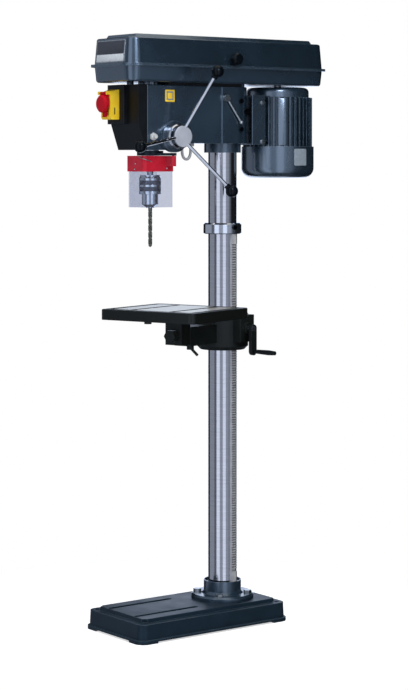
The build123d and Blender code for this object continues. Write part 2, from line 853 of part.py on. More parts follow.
with BuildPart() as stop_paddle:
    barrel_half = switch_width / 2 - lug_width - free_gap
    plate_rear = switch_front - free_gap
    plate_front = plate_rear - paddle_thickness
    mushroom_z = paddle_pin_z - mushroom_drop
    block(switch_x - barrel_half, switch_x + barrel_half, plate_front, plate_rear,
          mushroom_z, paddle_pin_z)
    cross_rod(paddle_barrel_radius, switch_x - barrel_half, switch_x + barrel_half, paddle_pin_y,
              paddle_pin_z)
    block(switch_x - paddle_tail_width / 2, switch_x + paddle_tail_width / 2, plate_front, plate_rear,
          paddle_pin_z - paddle_tail, mushroom_z)
    mushroom_axis = Plane(origin=(switch_x, plate_front, mushroom_z), x_dir=(1, 0, 0), z_dir=(0, -1, 0))
    turned([(0, 0), (mushroom_radius, 0), (mushroom_radius, mushroom_depth - mushroom_rounding),
            (mushroom_radius - mushroom_rounding, mushroom_depth), (0, mushroom_depth)], mushroom_axis)
    peg_back = pocket_floor - button_stand - peg_gap
    long_rod(peg_radius, plate_front, peg_back, switch_x, button_heights[1])
    cross_rod(paddle_pin_radius + running_gap, switch_x - switch_width, switch_x + switch_width,
              paddle_pin_y, paddle_pin_z, Mode.SUBTRACT)
stop_paddle.part.label = "stop_paddle"
export_step(stop_paddle.part, "parts/stop_paddle.step")

for name, z in zip(("start_button", "stop_button"), button_heights):
    with BuildPart() as button:
        button_front = pocket_floor - button_stand
        long_rod(button_radius, button_front, button_front + button_length, switch_x, z)
        chamfer(button.edges().sort_by(Axis.Y)[0], button_radius / 7)
    button.part.label = name
    export_step(button.part, "parts/" + name + ".step")

# Feed gear

hub_left = head_side + feed_boss_stand + depth_ring_width + 2 * free_gap
feed_left = -head_side - spring_cap_width + spring_cap_wall + free_gap
with BuildPart() as feed_pinion:
    cross_rod(feed_shaft_radius, feed_left, -feed_gear_width / 2, pinion_y, feed_z)
    prism(gear_points(feed_teeth, feed_module, 180), Plane(origin=(-feed_gear_width / 2, pinion_y, feed_z),
          x_dir=(0, 1, 0), z_dir=(1, 0, 0)), feed_gear_width)
    cross_rod(feed_journal, feed_gear_width / 2, hub_left, pinion_y, feed_z)
    cross_rod(hub_spigot, hub_left, hub_left + hub_width / 2, pinion_y, feed_z)
feed_pinion.part.label = "feed_pinion"
export_step(feed_pinion.part, "parts/feed_pinion.step")

rod_angles = [rod_first_angle + 120 * turn for turn in range(3)]
rod_axes = []
hub_middle = hub_left + hub_width / 2
for angle in rod_angles:
    outward = Vector(0, cos(radians(angle)), sin(radians(angle)))
    start = Vector(hub_middle, pinion_y, feed_z) + outward * rod_start
    finish = Vector(hub_middle + rod_lean, pinion_y, feed_z) + outward * rod_reach
    rod_axes.append((start, finish))


def on_rod(rod, along):
    # Plane across a feed rod, at a distance from its inner end
    run = (rod[1] - rod[0]).normalized()
    return Plane(origin=rod[0] + run * along, x_dir=run.cross(Vector(1, 0, 0)).normalized(), z_dir=run)


rod_length = (rod_axes[0][1] - rod_axes[0][0]).length
with BuildPart() as feed_hub:
    turned([(hub_spigot + running_gap, 0), (hub_radius, 0), (hub_radius, hub_width - hub_bevel),
            (hub_radius - hub_bevel, hub_width), (0, hub_width), (0, hub_width / 2),
            (hub_spigot + running_gap, hub_width / 2)], feed_axis.offset(hub_left))
    for rod in rod_axes:
        with Locations(on_rod(rod, 0)):
            Cylinder(rod_radius, hub_radius * 2, align=on_end, mode=Mode.SUBTRACT)
feed_hub.part.label = "feed_hub"
export_step(feed_hub.part, "parts/feed_hub.step")

with BuildPart() as feed_rods:
    for rod in rod_axes:
        with Locations(on_rod(rod, 0)):
            Cylinder(rod_radius, rod_length, align=on_end)
feed_rods.part.label = "feed_rods"
export_step(feed_rods.part, "parts/feed_rods.step")

with BuildPart() as feed_knobs:
    for rod in rod_axes:
        with Locations(on_rod(rod, rod_length)):
            Sphere(knob_radius)
        with Locations(on_rod(rod, rod_length - knob_radius - rod_radius)):
            Cylinder(rod_radius * 1.7, knob_radius, align=on_end)
        with Locations(on_rod(rod, rod_length - 2 * knob_radius)):
            Cylinder(rod_radius, 2 * knob_radius, align=on_end, mode=Mode.SUBTRACT)
feed_knobs.part.label = "feed_knobs"
export_step(feed_knobs.part, "parts/feed_knobs.step")

with BuildPart() as depth_ring:
    turned([(feed_journal + running_gap, 0), (depth_ring_radius, 0),
            (depth_ring_radius, depth_ring_width - depth_ring_bevel),
            (depth_ring_radius - depth_ring_bevel, depth_ring_width),
            (feed_journal + running_gap, depth_ring_width)],
           feed_axis.offset(head_side + feed_boss_stand + free_gap))
depth_ring.part.label = "depth_ring"
export_step(depth_ring.part, "parts/depth_ring.step")

cap_axis = Plane(origin=(-head_side, pinion_y, feed_z), x_dir=(0, 1, 0), z_dir=(-1, 0, 0))
with BuildPart() as spring_cap:
    inside = spring_cap_radius - spring_cap_wall
    turned([(inside, 0), (spring_cap_radius, 0), (spring_cap_radius, spring_cap_width - spring_cap_wall),
            (spring_cap_radius - spring_cap_wall, spring_cap_width), (0, spring_cap_width),
            (0, spring_cap_width - spring_cap_wall), (inside, spring_cap_width - spring_cap_wall)], cap_axis)
spring_cap.part.label = "spring_cap"
export_step(spring_cap.part, "parts/spring_cap.step")

spring_room = spring_cap_radius - spring_cap_wall - feed_shaft_radius - 1.5 * spring_strip
spring_pitch = spring_room / (spring_half_turns / 2 + 0.5)
with BuildPart() as return_spring:
    with BuildSketch(cap_axis.offset((spring_cap_width - spring_cap_wall - spring_width) / 2)):
        with BuildLine():
            for half in range(spring_half_turns):
                side = half % 2
                radius = feed_shaft_radius + spring_strip + spring_pitch * (half + 1) / 2
                CenterArc((side * spring_pitch / 2, 0), radius, 180 * side, 180)
        trace(line_width=spring_strip)
    extrude(amount=spring_width)
return_spring.part.label = "return_spring"
export_step(return_spring.part, "parts/return_spring.step")

# Quill, spindle and chuck

with BuildPart() as quill:
    post(quill_radius, quill_bottom, quill_top, 0, spindle_y)
    tip_line = feed_offset - feed_pitch_radius + feed_module * 0.75
    teeth_low = feed_z - 3 * pi * feed_module
    teeth_high = feed_z + quill_travel + 3 * pi * feed_module
    block(-quill_radius, quill_radius, spindle_y + tip_line, spindle_y + 2 * quill_radius, teeth_low,
          teeth_high, Mode.SUBTRACT)
    gap_points = rack_points(tip_line, tip_line + quill_radius, teeth_low, teeth_high, feed_module, feed_z)
    prism([(spindle_y + y, z) for y, z in gap_points], Plane.YZ.offset(-quill_radius), 2 * quill_radius,
          Mode.SUBTRACT)
    post(quill_bore, quill_bottom, quill_top, 0, spindle_y, Mode.SUBTRACT)
    post(bearing_radius, quill_bottom, quill_bottom + bearing_width, 0, spindle_y, Mode.SUBTRACT)
    post(bearing_radius, quill_top - bearing_width, quill_top, 0, spindle_y, Mode.SUBTRACT)
quill.part.label = "quill"
export_step(quill.part, "parts/quill.step")

with BuildPart() as quill_bearings:
    for bottom in (quill_bottom, quill_top - bearing_width):
        turned([(spindle_radius + running_gap, bottom), (bearing_radius, bottom),
                (bearing_radius, bottom + bearing_width),
                (spindle_radius + running_gap, bottom + bearing_width)], spindle_axis)
quill_bearings.part.label = "quill_bearings"
export_step(quill_bearings.part, "parts/quill_bearings.step")

with BuildPart() as spindle:
    post(spindle_stub, chuck_top - stub_length, chuck_top, 0, spindle_y)
    post(spindle_neck, chuck_top, quill_bottom, 0, spindle_y)
    post(spindle_radius, quill_bottom, quill_top, 0, spindle_y)
    post(spline_root, quill_top, spindle_top, 0, spindle_y)
    with BuildSketch(Plane.XY.offset(quill_top)):
        with Locations((0, spindle_y)):
            with PolarLocations((spindle_radius + spline_root) / 2 - spline_bed, spline_count):
                Rectangle(spindle_radius - spline_root + spline_bed, spline_width)
    extrude(amount=spindle_top - quill_top)
spindle.part.label = "spindle"
export_step(spindle.part, "parts/spindle.step")


def jaw_plane(turn, along):
    # Plane across a chuck jaw's sloping axis, at a distance above the chuck's mouth
    angle = radians(90 + 120 * turn)
    tilt = radians(jaw_tilt)
    run = Vector(sin(tilt) * cos(angle), sin(tilt) * sin(angle), cos(tilt))
    mouth = Vector(jaw_start * cos(angle), spindle_y + jaw_start * sin(angle), chuck_bottom)
    return Plane(origin=mouth + run * along, x_dir=(-sin(angle), cos(angle), 0), z_dir=run)


core_bottom = chuck_top - chuck_cap - chuck_sleeve_length - 2 * free_gap
with BuildPart() as chuck_body:
    turned([(0, chuck_bottom), (chuck_nose_tip, chuck_bottom),
            (chuck_nose_radius, chuck_bottom + chuck_cone),
            (chuck_nose_radius, core_bottom), (chuck_core_radius, core_bottom),
            (chuck_core_radius, chuck_top - chuck_cap), (chuck_cap_radius, chuck_top - chuck_cap),
            (chuck_cap_radius, chuck_top), (0, chuck_top)], spindle_axis)
    post(spindle_stub, chuck_top - stub_length, chuck_top, 0, spindle_y, Mode.SUBTRACT)
    post(drill_radius, chuck_bottom, chuck_bottom + drill_grip, 0, spindle_y, Mode.SUBTRACT)
    for turn in range(3):
        with Locations(jaw_plane(turn, -jaw_bore_length / 2)):
            Cylinder(jaw_radius + running_gap, jaw_bore_length * 1.5, align=on_end, mode=Mode.SUBTRACT)
chuck_body.part.label = "chuck_body"
export_step(chuck_body.part, "parts/chuck_body.step")

with BuildPart() as chuck_sleeve:
    sleeve_top = chuck_top - chuck_cap - free_gap
    sleeve_bottom = sleeve_top - chuck_sleeve_length
    turned([(chuck_core_radius + running_gap, sleeve_bottom),
            (chuck_sleeve_radius - chuck_sleeve_bevel, sleeve_bottom),
            (chuck_sleeve_radius, sleeve_bottom + chuck_sleeve_bevel),
            (chuck_sleeve_radius, sleeve_top - chuck_sleeve_bevel),
            (chuck_sleeve_radius - chuck_sleeve_bevel, sleeve_top),
            (chuck_core_radius + running_gap, sleeve_top)], spindle_axis)
    for row in flute_rows:
        with Locations((0, spindle_y, sleeve_bottom + row)):
            with PolarLocations(chuck_sleeve_radius + flute_radius / 2, flute_count):
                Cylinder(flute_radius, flute_length, align=on_end, mode=Mode.SUBTRACT)
chuck_sleeve.part.label = "chuck_sleeve"
export_step(chuck_sleeve.part, "parts/chuck_sleeve.step")

for turn in range(3):
    with BuildPart() as jaw:
        with Locations(jaw_plane(turn, -jaw_stand)):
            Cylinder(jaw_radius, jaw_length, align=on_end)
        post(drill_radius + running_gap, chuck_bottom - chuck_length, chuck_top, 0, spindle_y, Mode.SUBTRACT)
    jaw.part.label = "chuck_jaw_" + str(turn + 1)
    export_step(jaw.part, "parts/chuck_jaw_" + str(turn + 1) + ".step")

with BuildPart() as drill_bit:
    turned([(0, drill_tip), (drill_radius, drill_tip + drill_point),
            (drill_radius, chuck_bottom + drill_grip), (0, chuck_bottom + drill_grip)], spindle_axis)
drill_bit.part.label = "drill_bit"
export_step(drill_bit.part, "parts/drill_bit.step")

# Chuck guard

guard_pin_place = (guard_pin_x, spindle_y + guard_pin_y)


def guard_band(outset, bottom, height, wall):
    # U-shaped band round the chuck, open at the back, inset from the guard's outer face
    left = -guard_left + outset
    right = guard_right - outset
    front = -guard_front + outset
    width = right - left
    depth = guard_rear * 2 - front
    with BuildSketch(Plane.XY.offset(bottom)) as band:
        with Locations(((left + right) / 2, spindle_y + front + depth / 2)):
            RectangleRounded(width, depth, guard_corner - outset)
            RectangleRounded(width - 2 * wall, depth - 2 * wall, max(guard_corner - outset - wall, 1),
                             mode=Mode.SUBTRACT)
        with Locations((0, spindle_y + guard_rear + guard_rear)):
            Rectangle(4 * guard_left, 2 * guard_rear, mode=Mode.SUBTRACT)
        with Locations((guard_right, spindle_y + guard_right_rear + guard_rear)):
            Rectangle(guard_right, 2 * guard_rear, mode=Mode.SUBTRACT)
    extrude(band.sketch, amount=height)


with BuildPart() as guard_clamp:
    arm_bottom = quill_bottom + free_gap
    arm_top = arm_bottom + guard_clamp_height
    post(guard_clamp_radius, arm_bottom, arm_top, 0, spindle_y)
    prism([(0, spindle_y),
           (guard_pin_x - guard_arm_width / 2, spindle_y + guard_pin_y + guard_arm_width / 2),
           (guard_pin_x, spindle_y + guard_pin_y - guard_arm_width / 2),
           (guard_clamp_radius / 2, spindle_y - guard_arm_width)],
          Plane.XY.offset(arm_bottom), guard_arm_height)
    post(guard_arm_width / 2, arm_bottom, arm_bottom + guard_arm_height, *guard_pin_place)
    post(quill_radius, arm_bottom, arm_top, 0, spindle_y, Mode.SUBTRACT)
    post(guard_pin_radius, guard_top - knuckle_height, arm_bottom, *guard_pin_place)
guard_clamp.part.label = "guard_clamp"
export_step(guard_clamp.part, "parts/guard_clamp.step")

with BuildPart() as guard_collar:
    guard_band(0, guard_bottom, guard_height, guard_wall)
    guard_band(0, guard_top - guard_lip_thickness, guard_lip_thickness, guard_wall + guard_lip)
    web_left = guard_right - guard_wall
    prism([(web_left, spindle_y + guard_pin_y - knuckle_radius),
           (web_left, spindle_y + guard_pin_y + knuckle_radius),
           (guard_pin_x - knuckle_radius / 2, spindle_y + guard_pin_y + knuckle_radius / 2),
           (guard_pin_x, spindle_y + guard_pin_y - knuckle_radius / 2)],
          Plane.XY.offset(guard_top - knuckle_height), knuckle_height)
    post(knuckle_radius, guard_top - knuckle_height, guard_top, *guard_pin_place)
    post(guard_pin_radius + running_gap, guard_top - 2 * knuckle_height, guard_top + 1, *guard_pin_place,
         Mode.SUBTRACT)
guard_collar.part.label = "guard_collar"
export_step(guard_collar.part, "parts/guard_collar.step")

with BuildPart() as guard_shield:
    guard_band(guard_wall, guard_bottom - shield_drop, shield_drop + shield_lap, shield_wall)
guard_shield.part.label = "guard_shield"
export_step(guard_shield.part, "parts/guard_shield.step")

with BuildPart() as guard_knob:
    cross_rod(guard_knob_radius, -guard_left - guard_knob_length, -guard_left,
              spindle_y - guard_front + guard_corner + guard_knob_back, guard_top - guard_knob_drop)
    fillet(guard_knob.edges().sort_by(Axis.X)[0], guard_knob_radius / 3)
guard_knob.part.label = "guard_knob"
export_step(guard_knob.part, "parts/guard_knob.step")

# Belt housing and lid

lip_half = tray_width / 2 + lip_stand
hinge_x = -lip_half - hinge_reach
hinge_places = (tray_y - hinge_spacing / 2, tray_y + hinge_spacing / 2)
with BuildPart() as belt_housing:
    rounded_plate(Plane.XY.offset(lip_z), tray_width, tray_length, tray_corner, tray_y, -tray_depth,
                  tray_taper)
    fillet(belt_housing.edges().group_by(Axis.Z)[0], tray_rounding)
    rounded_plate(Plane.XY.offset(lip_z - lip_thickness), tray_width + 2 * lip_stand,
                  tray_length + 2 * lip_stand, tray_corner + lip_stand, tray_y, lip_thickness)
    rounded_plate(Plane.XY.offset(lip_z), tray_width - 2 * tray_wall, tray_length - 2 * tray_wall,
                  tray_corner - tray_wall, tray_y, tray_wall - tray_depth, tray_taper, Mode.SUBTRACT)
    post(quill_radius + tray_wall, housing_bottom, lip_z, 0, spindle_y, Mode.SUBTRACT)
    post(idler_shaft_radius + tray_wall, housing_bottom, lip_z, 0, idler_y, Mode.SUBTRACT)
    with BuildSketch(Plane.XY.offset(housing_bottom)):
        with Locations((0, motor_y - slide_travel / 2)):
            SlotOverall(slide_travel + 5 * motor_shaft_radius, 4 * motor_shaft_radius, rotation=90)
    extrude(amount=tray_wall, mode=Mode.SUBTRACT)
    for x, y in housing_posts:
        post(housing_bolt_radius, housing_bottom, housing_bottom + tray_wall, x, y, Mode.SUBTRACT)
belt_housing.part.label = "belt_housing"
export_step(belt_housing.part, "parts/belt_housing.step")

with BuildPart() as belt_lid:
    rounded_plate(Plane.XY.offset(lid_bottom), tray_width, tray_length, tray_corner, tray_y, lid_height,
                  lid_taper)
    lid_lean = 2 * lid_height * tan(radians(lid_taper))
    panel_width = tray_width - lid_lean - 2 * panel_side_inset
    panel_length = tray_length - lid_lean - 2 * panel_end_inset
    fillet(belt_lid.edges().group_by(Axis.Z)[-1], lid_rounding)
    rounded_plate(Plane.XY.offset(lid_rim), panel_width, panel_length, tray_corner / 3, tray_y, panel_rise,
                  panel_draft)
    rounded_plate(Plane.XY.offset(lid_rim - lid_wall), panel_width, panel_length, tray_corner / 3, tray_y,
                  panel_rise, panel_draft, Mode.SUBTRACT)
    rounded_plate(Plane.XY.offset(lid_bottom), tray_width - 2 * lid_wall, tray_length - 2 * lid_wall,
                  tray_corner - lid_wall, tray_y, lid_height - lid_wall, lid_taper, Mode.SUBTRACT)
    with BuildSketch(Plane.XY.offset(lid_bottom)):
        with Locations((0, tray_y)):
            RectangleRounded(tray_width + 2 * lip_stand, tray_length + 2 * lip_stand,
                             tray_corner + lip_stand)
            RectangleRounded(tray_width - 2 * lid_wall, tray_length - 2 * lid_wall, tray_corner - lid_wall,
                             mode=Mode.SUBTRACT)
    extrude(amount=lip_thickness)
    for y in hinge_places:
        block(hinge_x, -lip_half + hinge_web, y - hinge_knuckle / 2, y + hinge_knuckle / 2,
              lid_bottom, lid_bottom + hinge_web)
        long_rod(hinge_radius, y - hinge_knuckle / 2, y + hinge_knuckle / 2, hinge_x, lip_z)
        long_rod(hinge_pin_radius + running_gap, y - hinge_knuckle, y + hinge_knuckle, hinge_x, lip_z,
                 Mode.SUBTRACT)
belt_lid.part.label = "belt_lid"
export_step(belt_lid.part, "parts/belt_lid.step")

with BuildPart() as lid_hinges:
    for y in hinge_places:
        reach = hinge_knuckle / 2 + free_gap
        for end in (-1, 1):
            middle = y + end * (reach + hinge_knuckle / 4)
            long_rod(hinge_radius, middle - hinge_knuckle / 4, middle + hinge_knuckle / 4, hinge_x, lip_z)
            block(hinge_x, -lip_half + lip_stand, middle - hinge_knuckle / 4, middle + hinge_knuckle / 4,
                  lip_z - lip_thickness - hinge_web, lip_z - lip_thickness)
        long_rod(hinge_pin_radius, y - reach - hinge_knuckle / 2, y + reach + hinge_knuckle / 2, hinge_x,
                 lip_z)
lid_hinges.part.label = "lid_hinges"
export_step(lid_hinges.part, "parts/lid_hinges.step")

with BuildPart() as lid_knob:
    knob_seat = tray_width / 2 - lid_knob_rise * tan(radians(lid_taper))
    knob_axis = Plane(origin=(knob_seat, column_y - lid_knob_y, lid_bottom + lid_knob_rise),
                      x_dir=(0, 1, 0), z_dir=Vector(cos(radians(lid_taper)), 0, sin(radians(lid_taper))))
    turned([(0, 0), (lid_knob_radius * 0.6, 0), (lid_knob_radius * 0.5, lid_knob_length * 0.35),
            (lid_knob_radius, lid_knob_length * 0.5), (lid_knob_radius, lid_knob_length * 0.8),
            (lid_knob_radius * 0.75, lid_knob_length), (0, lid_knob_length)], knob_axis)
lid_knob.part.label = "lid_knob"
export_step(lid_knob.part, "parts/lid_knob.step")

# Pulleys and belts

with BuildPart() as sleeve_bearings:
    turned([(drive_sleeve_radius + running_gap, housing_bottom - drive_bearing_width), (quill_radius,
            housing_bottom - drive_bearing_width), (quill_radius, housing_bottom),
            (drive_sleeve_radius + running_gap, housing_bottom)], spindle_axis)
sleeve_bearings.part.label = "sleeve_bearings"
export_step(sleeve_bearings.part, "parts/sleeve_bearings.step")

with BuildPart() as spindle_pulley:
    turned(pulley_points(spindle_steps, 0), spindle_axis)
    post(drive_sleeve_radius, housing_bottom - drive_bearing_width, pulley_bottom, 0, spindle_y)
    sleeve_low = housing_bottom - drive_bearing_width
    with BuildSketch(Plane.XY.offset(sleeve_low)):
        with Locations((0, spindle_y)):
            Circle(spline_root + running_gap * 2)
            with PolarLocations((spindle_radius + spline_root) / 2 - spline_bed, spline_count):
                Rectangle(spindle_radius - spline_root + spline_bed + running_gap * 4,
                          spline_width + running_gap * 4)
    extrude(amount=spindle_top - sleeve_low, mode=Mode.SUBTRACT)
spindle_pulley.part.label = "spindle_pulley"
export_step(spindle_pulley.part, "parts/spindle_pulley.step")

with BuildPart() as idler_pulley:
    turned(pulley_points(idler_steps, 0), idler_axis)
    post(idler_shaft_radius, pulley_bottom - idler_shaft_length, pulley_bottom, 0, idler_y)
idler_pulley.part.label = "idler_pulley"
export_step(idler_pulley.part, "parts/idler_pulley.step")

with BuildPart() as motor_pulley:
    turned(pulley_points(motor_steps, motor_shaft_radius), motor_axis)
motor_pulley.part.label = "motor_pulley"
export_step(motor_pulley.part, "parts/motor_pulley.step")

with BuildPart() as drive_belt:
    belt_loop(spindle_y, spindle_steps[drive_level], idler_y, idler_steps[drive_level], drive_level)
drive_belt.part.label = "drive_belt"
export_step(drive_belt.part, "parts/drive_belt.step")

with BuildPart() as motor_belt:
    belt_loop(idler_y, idler_steps[motor_level], motor_y, motor_steps[motor_level], motor_level)
motor_belt.part.label = "motor_belt"
export_step(motor_belt.part, "parts/motor_belt.step")

# Motor and its slide

with BuildPart() as motor_plate:
    plate_bottom = motor_bottom + plate_margin
    plate_top = motor_top + plate_margin
    block(-plate_width / 2, plate_width / 2, plate_front_y, plate_back_y, plate_bottom, plate_top)
    for left in (-plate_width / 2, plate_width / 2 - cheek_thickness):
        block(left, left + cheek_thickness, plate_front_y - cheek_reach, plate_front_y, plate_bottom,
              plate_top)
    fillet(motor_plate.edges().filter_by(Axis.Z).group_by(Axis.Y)[0], cheek_rounding)
    for side in (-1, 1):
        long_rod(slide_rod_radius, plate_front_y, plate_back_y, side * rod_spacing / 2, slide_rod_z,
                 Mode.SUBTRACT)
motor_plate.part.label = "motor_plate"
export_step(motor_plate.part, "parts/motor_plate.step")

with BuildPart() as slide_rods:
    for side in (-1, 1):
        long_rod(slide_rod_radius, column_y - slide_rod_depth + slide_travel + free_gap, plate_back_y,
                 side * rod_spacing / 2, slide_rod_z)
slide_rods.part.label = "slide_rods"
export_step(slide_rods.part, "parts/slide_rods.step")

with BuildPart() as motor_body:
    post(motor_core_radius, motor_bottom, motor_top, 0, motor_y)
    with BuildSketch(Plane.XY.offset(motor_bottom)):
        with Locations((0, motor_y)):
            with PolarLocations((motor_core_radius + fin_radius - fin_root) / 2, fin_count):
                Rectangle(fin_radius - motor_core_radius + fin_root, fin_thickness)
    extrude(amount=motor_height)
    block(-pad_width / 2, pad_width / 2, plate_back_y, motor_y - motor_bore - motor_end / 2,
          motor_bottom + pad_margin, motor_top - pad_margin)
    with BuildSketch(Plane.XY.offset(motor_top)):
        with Locations((0, motor_y)):
            Circle(motor_cap_radius)
    extrude(amount=motor_cap_height)
    fillet(motor_body.edges().group_by(Axis.Z)[-1], motor_cap_rounding)
    post(motor_bore, motor_bottom, motor_top, 0, motor_y, Mode.SUBTRACT)
    post(motor_shaft_radius + running_gap, motor_top, motor_top + motor_cap_height, 0, motor_y,
         Mode.SUBTRACT)
motor_body.part.label = "motor_body"
export_step(motor_body.part, "parts/motor_body.step")

with BuildPart() as fan_cover:
    cover_low = motor_bottom - fan_cover_height
    post(fan_cover_radius, cover_low, motor_bottom, 0, motor_y)
    fillet(fan_cover.edges().group_by(Axis.Z)[0], fan_cover_rounding)
    post(fan_cover_radius - fan_cover_wall, cover_low + fan_cover_rounding, motor_bottom - fan_cover_wall,
         0, motor_y, Mode.SUBTRACT)
    post(fan_cover_radius - fan_cover_rounding, cover_low + fan_cover_wall, motor_bottom, 0, motor_y,
         Mode.SUBTRACT)
    with Locations((0, motor_y, cover_low)):
        with PolarLocations(vent_circle, vent_count):
            Cylinder(vent_radius, fan_cover_rounding, align=on_end, mode=Mode.SUBTRACT)
fan_cover.part.label = "fan_cover"
export_step(fan_cover.part, "parts/fan_cover.step")

pulley_top = pulley_bottom + step_height * len(motor_steps)
with BuildPart() as motor_shaft:
    post(motor_shaft_radius, motor_shaft_bottom, pulley_top, 0, motor_y)
    post(rotor_radius, motor_bottom + rotor_margin, motor_top - rotor_margin, 0, motor_y)
motor_shaft.part.label = "motor_shaft"
export_step(motor_shaft.part, "parts/motor_shaft.step")

with BuildPart() as cooling_fan:
    fan_bottom = motor_shaft_bottom + fan_rise / 4
    post(fan_hub, fan_bottom, fan_bottom + fan_height, 0, motor_y)
    with BuildSketch(Plane.XY.offset(fan_bottom + fan_cover_wall)):
        with Locations((0, motor_y)):
            with PolarLocations((fan_hub + fan_radius - fan_cover_rounding) / 2, blade_count):
                Rectangle(fan_radius - fan_cover_rounding - fan_hub + 2 * blade_root, blade_thickness)
    extrude(amount=fan_height - 2 * fan_cover_wall)
    post(motor_shaft_radius, fan_bottom, fan_bottom + fan_height, 0, motor_y, Mode.SUBTRACT)
cooling_fan.part.label = "cooling_fan"
export_step(cooling_fan.part, "parts/cooling_fan.step")

with BuildPart() as tension_lever:
    lever_seat = head_rear_radius + free_gap
    cross_rod(lever_shaft_radius, head_side - lever_shaft_depth, lever_seat, lever_pivot_y, lever_z)
    cross_rod(lever_hub_radius, lever_seat, lever_seat + lever_hub_width, lever_pivot_y, lever_z)
    lever_dir = Vector(0, cos(radians(lever_angle)), -sin(radians(lever_angle)))
    lever_start = Vector(lever_seat + lever_hub_width * 0.6, lever_pivot_y, lever_z)
    with Locations(Plane(origin=lever_start, x_dir=(1, 0, 0), z_dir=lever_dir)):
        Cylinder(lever_rod_radius, lever_length, align=on_end)
    with Locations(Plane(origin=lever_start + lever_dir * lever_length, x_dir=(1, 0, 0), z_dir=lever_dir)):
        Sphere(lever_ball_radius)
tension_lever.part.label = "tension_lever"
export_step(tension_lever.part, "parts/tension_lever.step")

# Cable between two glands under the head

lead_points = [Vector(cable_x, spindle_y + cable_front + y, head_bottom + z) for y, z in cable_route]
lead_radii = []
for before, corner, after in zip(lead_points, lead_points[1:], lead_points[2:]):
    turn = (corner - before).get_angle(after - corner)
    shorter = min((corner - before).length, (after - corner).length)
    lead_radii.append(lead_share * shorter / tan(radians(turn / 2)))
with BuildPart() as cable_loop:
    with BuildLine() as lead_line:
        FilletPolyline(*lead_points, radius=lead_radii)
    with BuildSketch(Plane(origin=lead_points[0], z_dir=(0, 0, -1))):
        Circle(cable_radius)
    sweep(path=lead_line.line)
print("lead radii", [round(radius, 1) for radius in lead_radii])
lead_length = lead_line.wire().length
print("lead length", round(lead_length, 1), "volume", round(cable_loop.part.volume, 1), "section times length",
      round(pi * cable_radius**2 * lead_length, 1))
cable_loop.part.label = "cable_loop"
export_step(cable_loop.part, "parts/cable_loop.step")

with BuildPart() as cable_glands:
    for y in (lead_points[0].Y, lead_points[-1].Y):
        hexagon(gland_radius, Plane((cable_x, y, head_bottom - gland_height)), gland_height)
        post(cable_radius, head_bottom - gland_height, head_bottom, cable_x, y, Mode.SUBTRACT)
cable_glands.part.label = "cable_glands"
export_step(cable_glands.part, "parts/cable_glands.step")

# Table bracket and lifting gear

with BuildPart(table_frame) as table_bracket:
    post(hub_outer_radius, bracket_bottom, bracket_top, 0, 0)
    chamfer(table_bracket.edges().group_by(Axis.Z)[0], bracket_chamfer)
    block(-arm_half_width, arm_half_width, -arm_front, 0, tilt_z - arm_sink, tilt_z + arm_rise)
    box_frame = placed(gear_frame, Plane.XY.offset(crank_z - gearbox_sink))
    box_points = [(0, -gearbox_half_width), (gearbox_right, -gearbox_half_width),
                  (gearbox_right, gearbox_half_width), (0, gearbox_half_width)]
    prism(box_points, box_frame, bracket_top - crank_z + gearbox_sink)
    with Locations(table_frame.location.inverse() * crank_axis.offset(gearbox_right).location):
        Cylinder(crank_boss_radius, crank_boss_stand, align=on_end)
    post(column_radius + free_gap, bracket_bottom, bracket_top, 0, 0, Mode.SUBTRACT)
    rack_slot = rack_width / 2 + free_gap
    rack_reach = rack_face + free_gap
    prism([(0, -rack_slot), (rack_reach, -rack_slot), (rack_reach, rack_slot), (0, rack_slot)],
          placed(gear_frame, Plane.XY.offset(bracket_bottom)), bracket_height, Mode.SUBTRACT)
    pinion_room = pinion_pitch_radius + rack_module + free_gap
    with Locations(table_frame.location.inverse() * pinion_axis.location):
        Cylinder(pinion_room, pinion_width + 2 * free_gap, mode=Mode.SUBTRACT)
        Cylinder(pinion_pin_radius + running_gap, pinion_pin_length + 2 * free_gap, mode=Mode.SUBTRACT)
    worm_room = worm_pitch_radius + worm_addendum + free_gap * 2
    with Locations(table_frame.location.inverse() * crank_axis.offset(pinion_x).location):
        Cylinder(worm_room, worm_length + 2 * free_gap, mode=Mode.SUBTRACT)
        Cylinder(crank_shaft_radius + running_gap, gearbox_right, align=on_end, mode=Mode.SUBTRACT)
    long_rod(tilt_bolt_radius, -arm_front, -arm_front + tilt_bolt_depth, 0, tilt_z, Mode.SUBTRACT)
    post(lock_stud_radius + running_gap, tilt_z - arm_sink, tilt_z - arm_sink + lock_stud_depth + free_gap,
         lock_x, -lock_y, Mode.SUBTRACT)
table_bracket.part.label = "table_bracket"
export_step(table_bracket.part, "parts/table_bracket.step")

with BuildPart() as lift_pinion:
    gear_plane = placed(gear_frame, Plane(origin=(pinion_x, pinion_width / 2, pinion_z), x_dir=(1, 0, 0),
                                          z_dir=(0, -1, 0)))
    prism(gear_points(pinion_teeth, rack_module, 180), gear_plane, pinion_width)
    with Locations(pinion_axis.location):
        Cylinder(pinion_pin_radius, pinion_pin_length)
lift_pinion.part.label = "lift_pinion"
export_step(lift_pinion.part, "parts/lift_pinion.step")

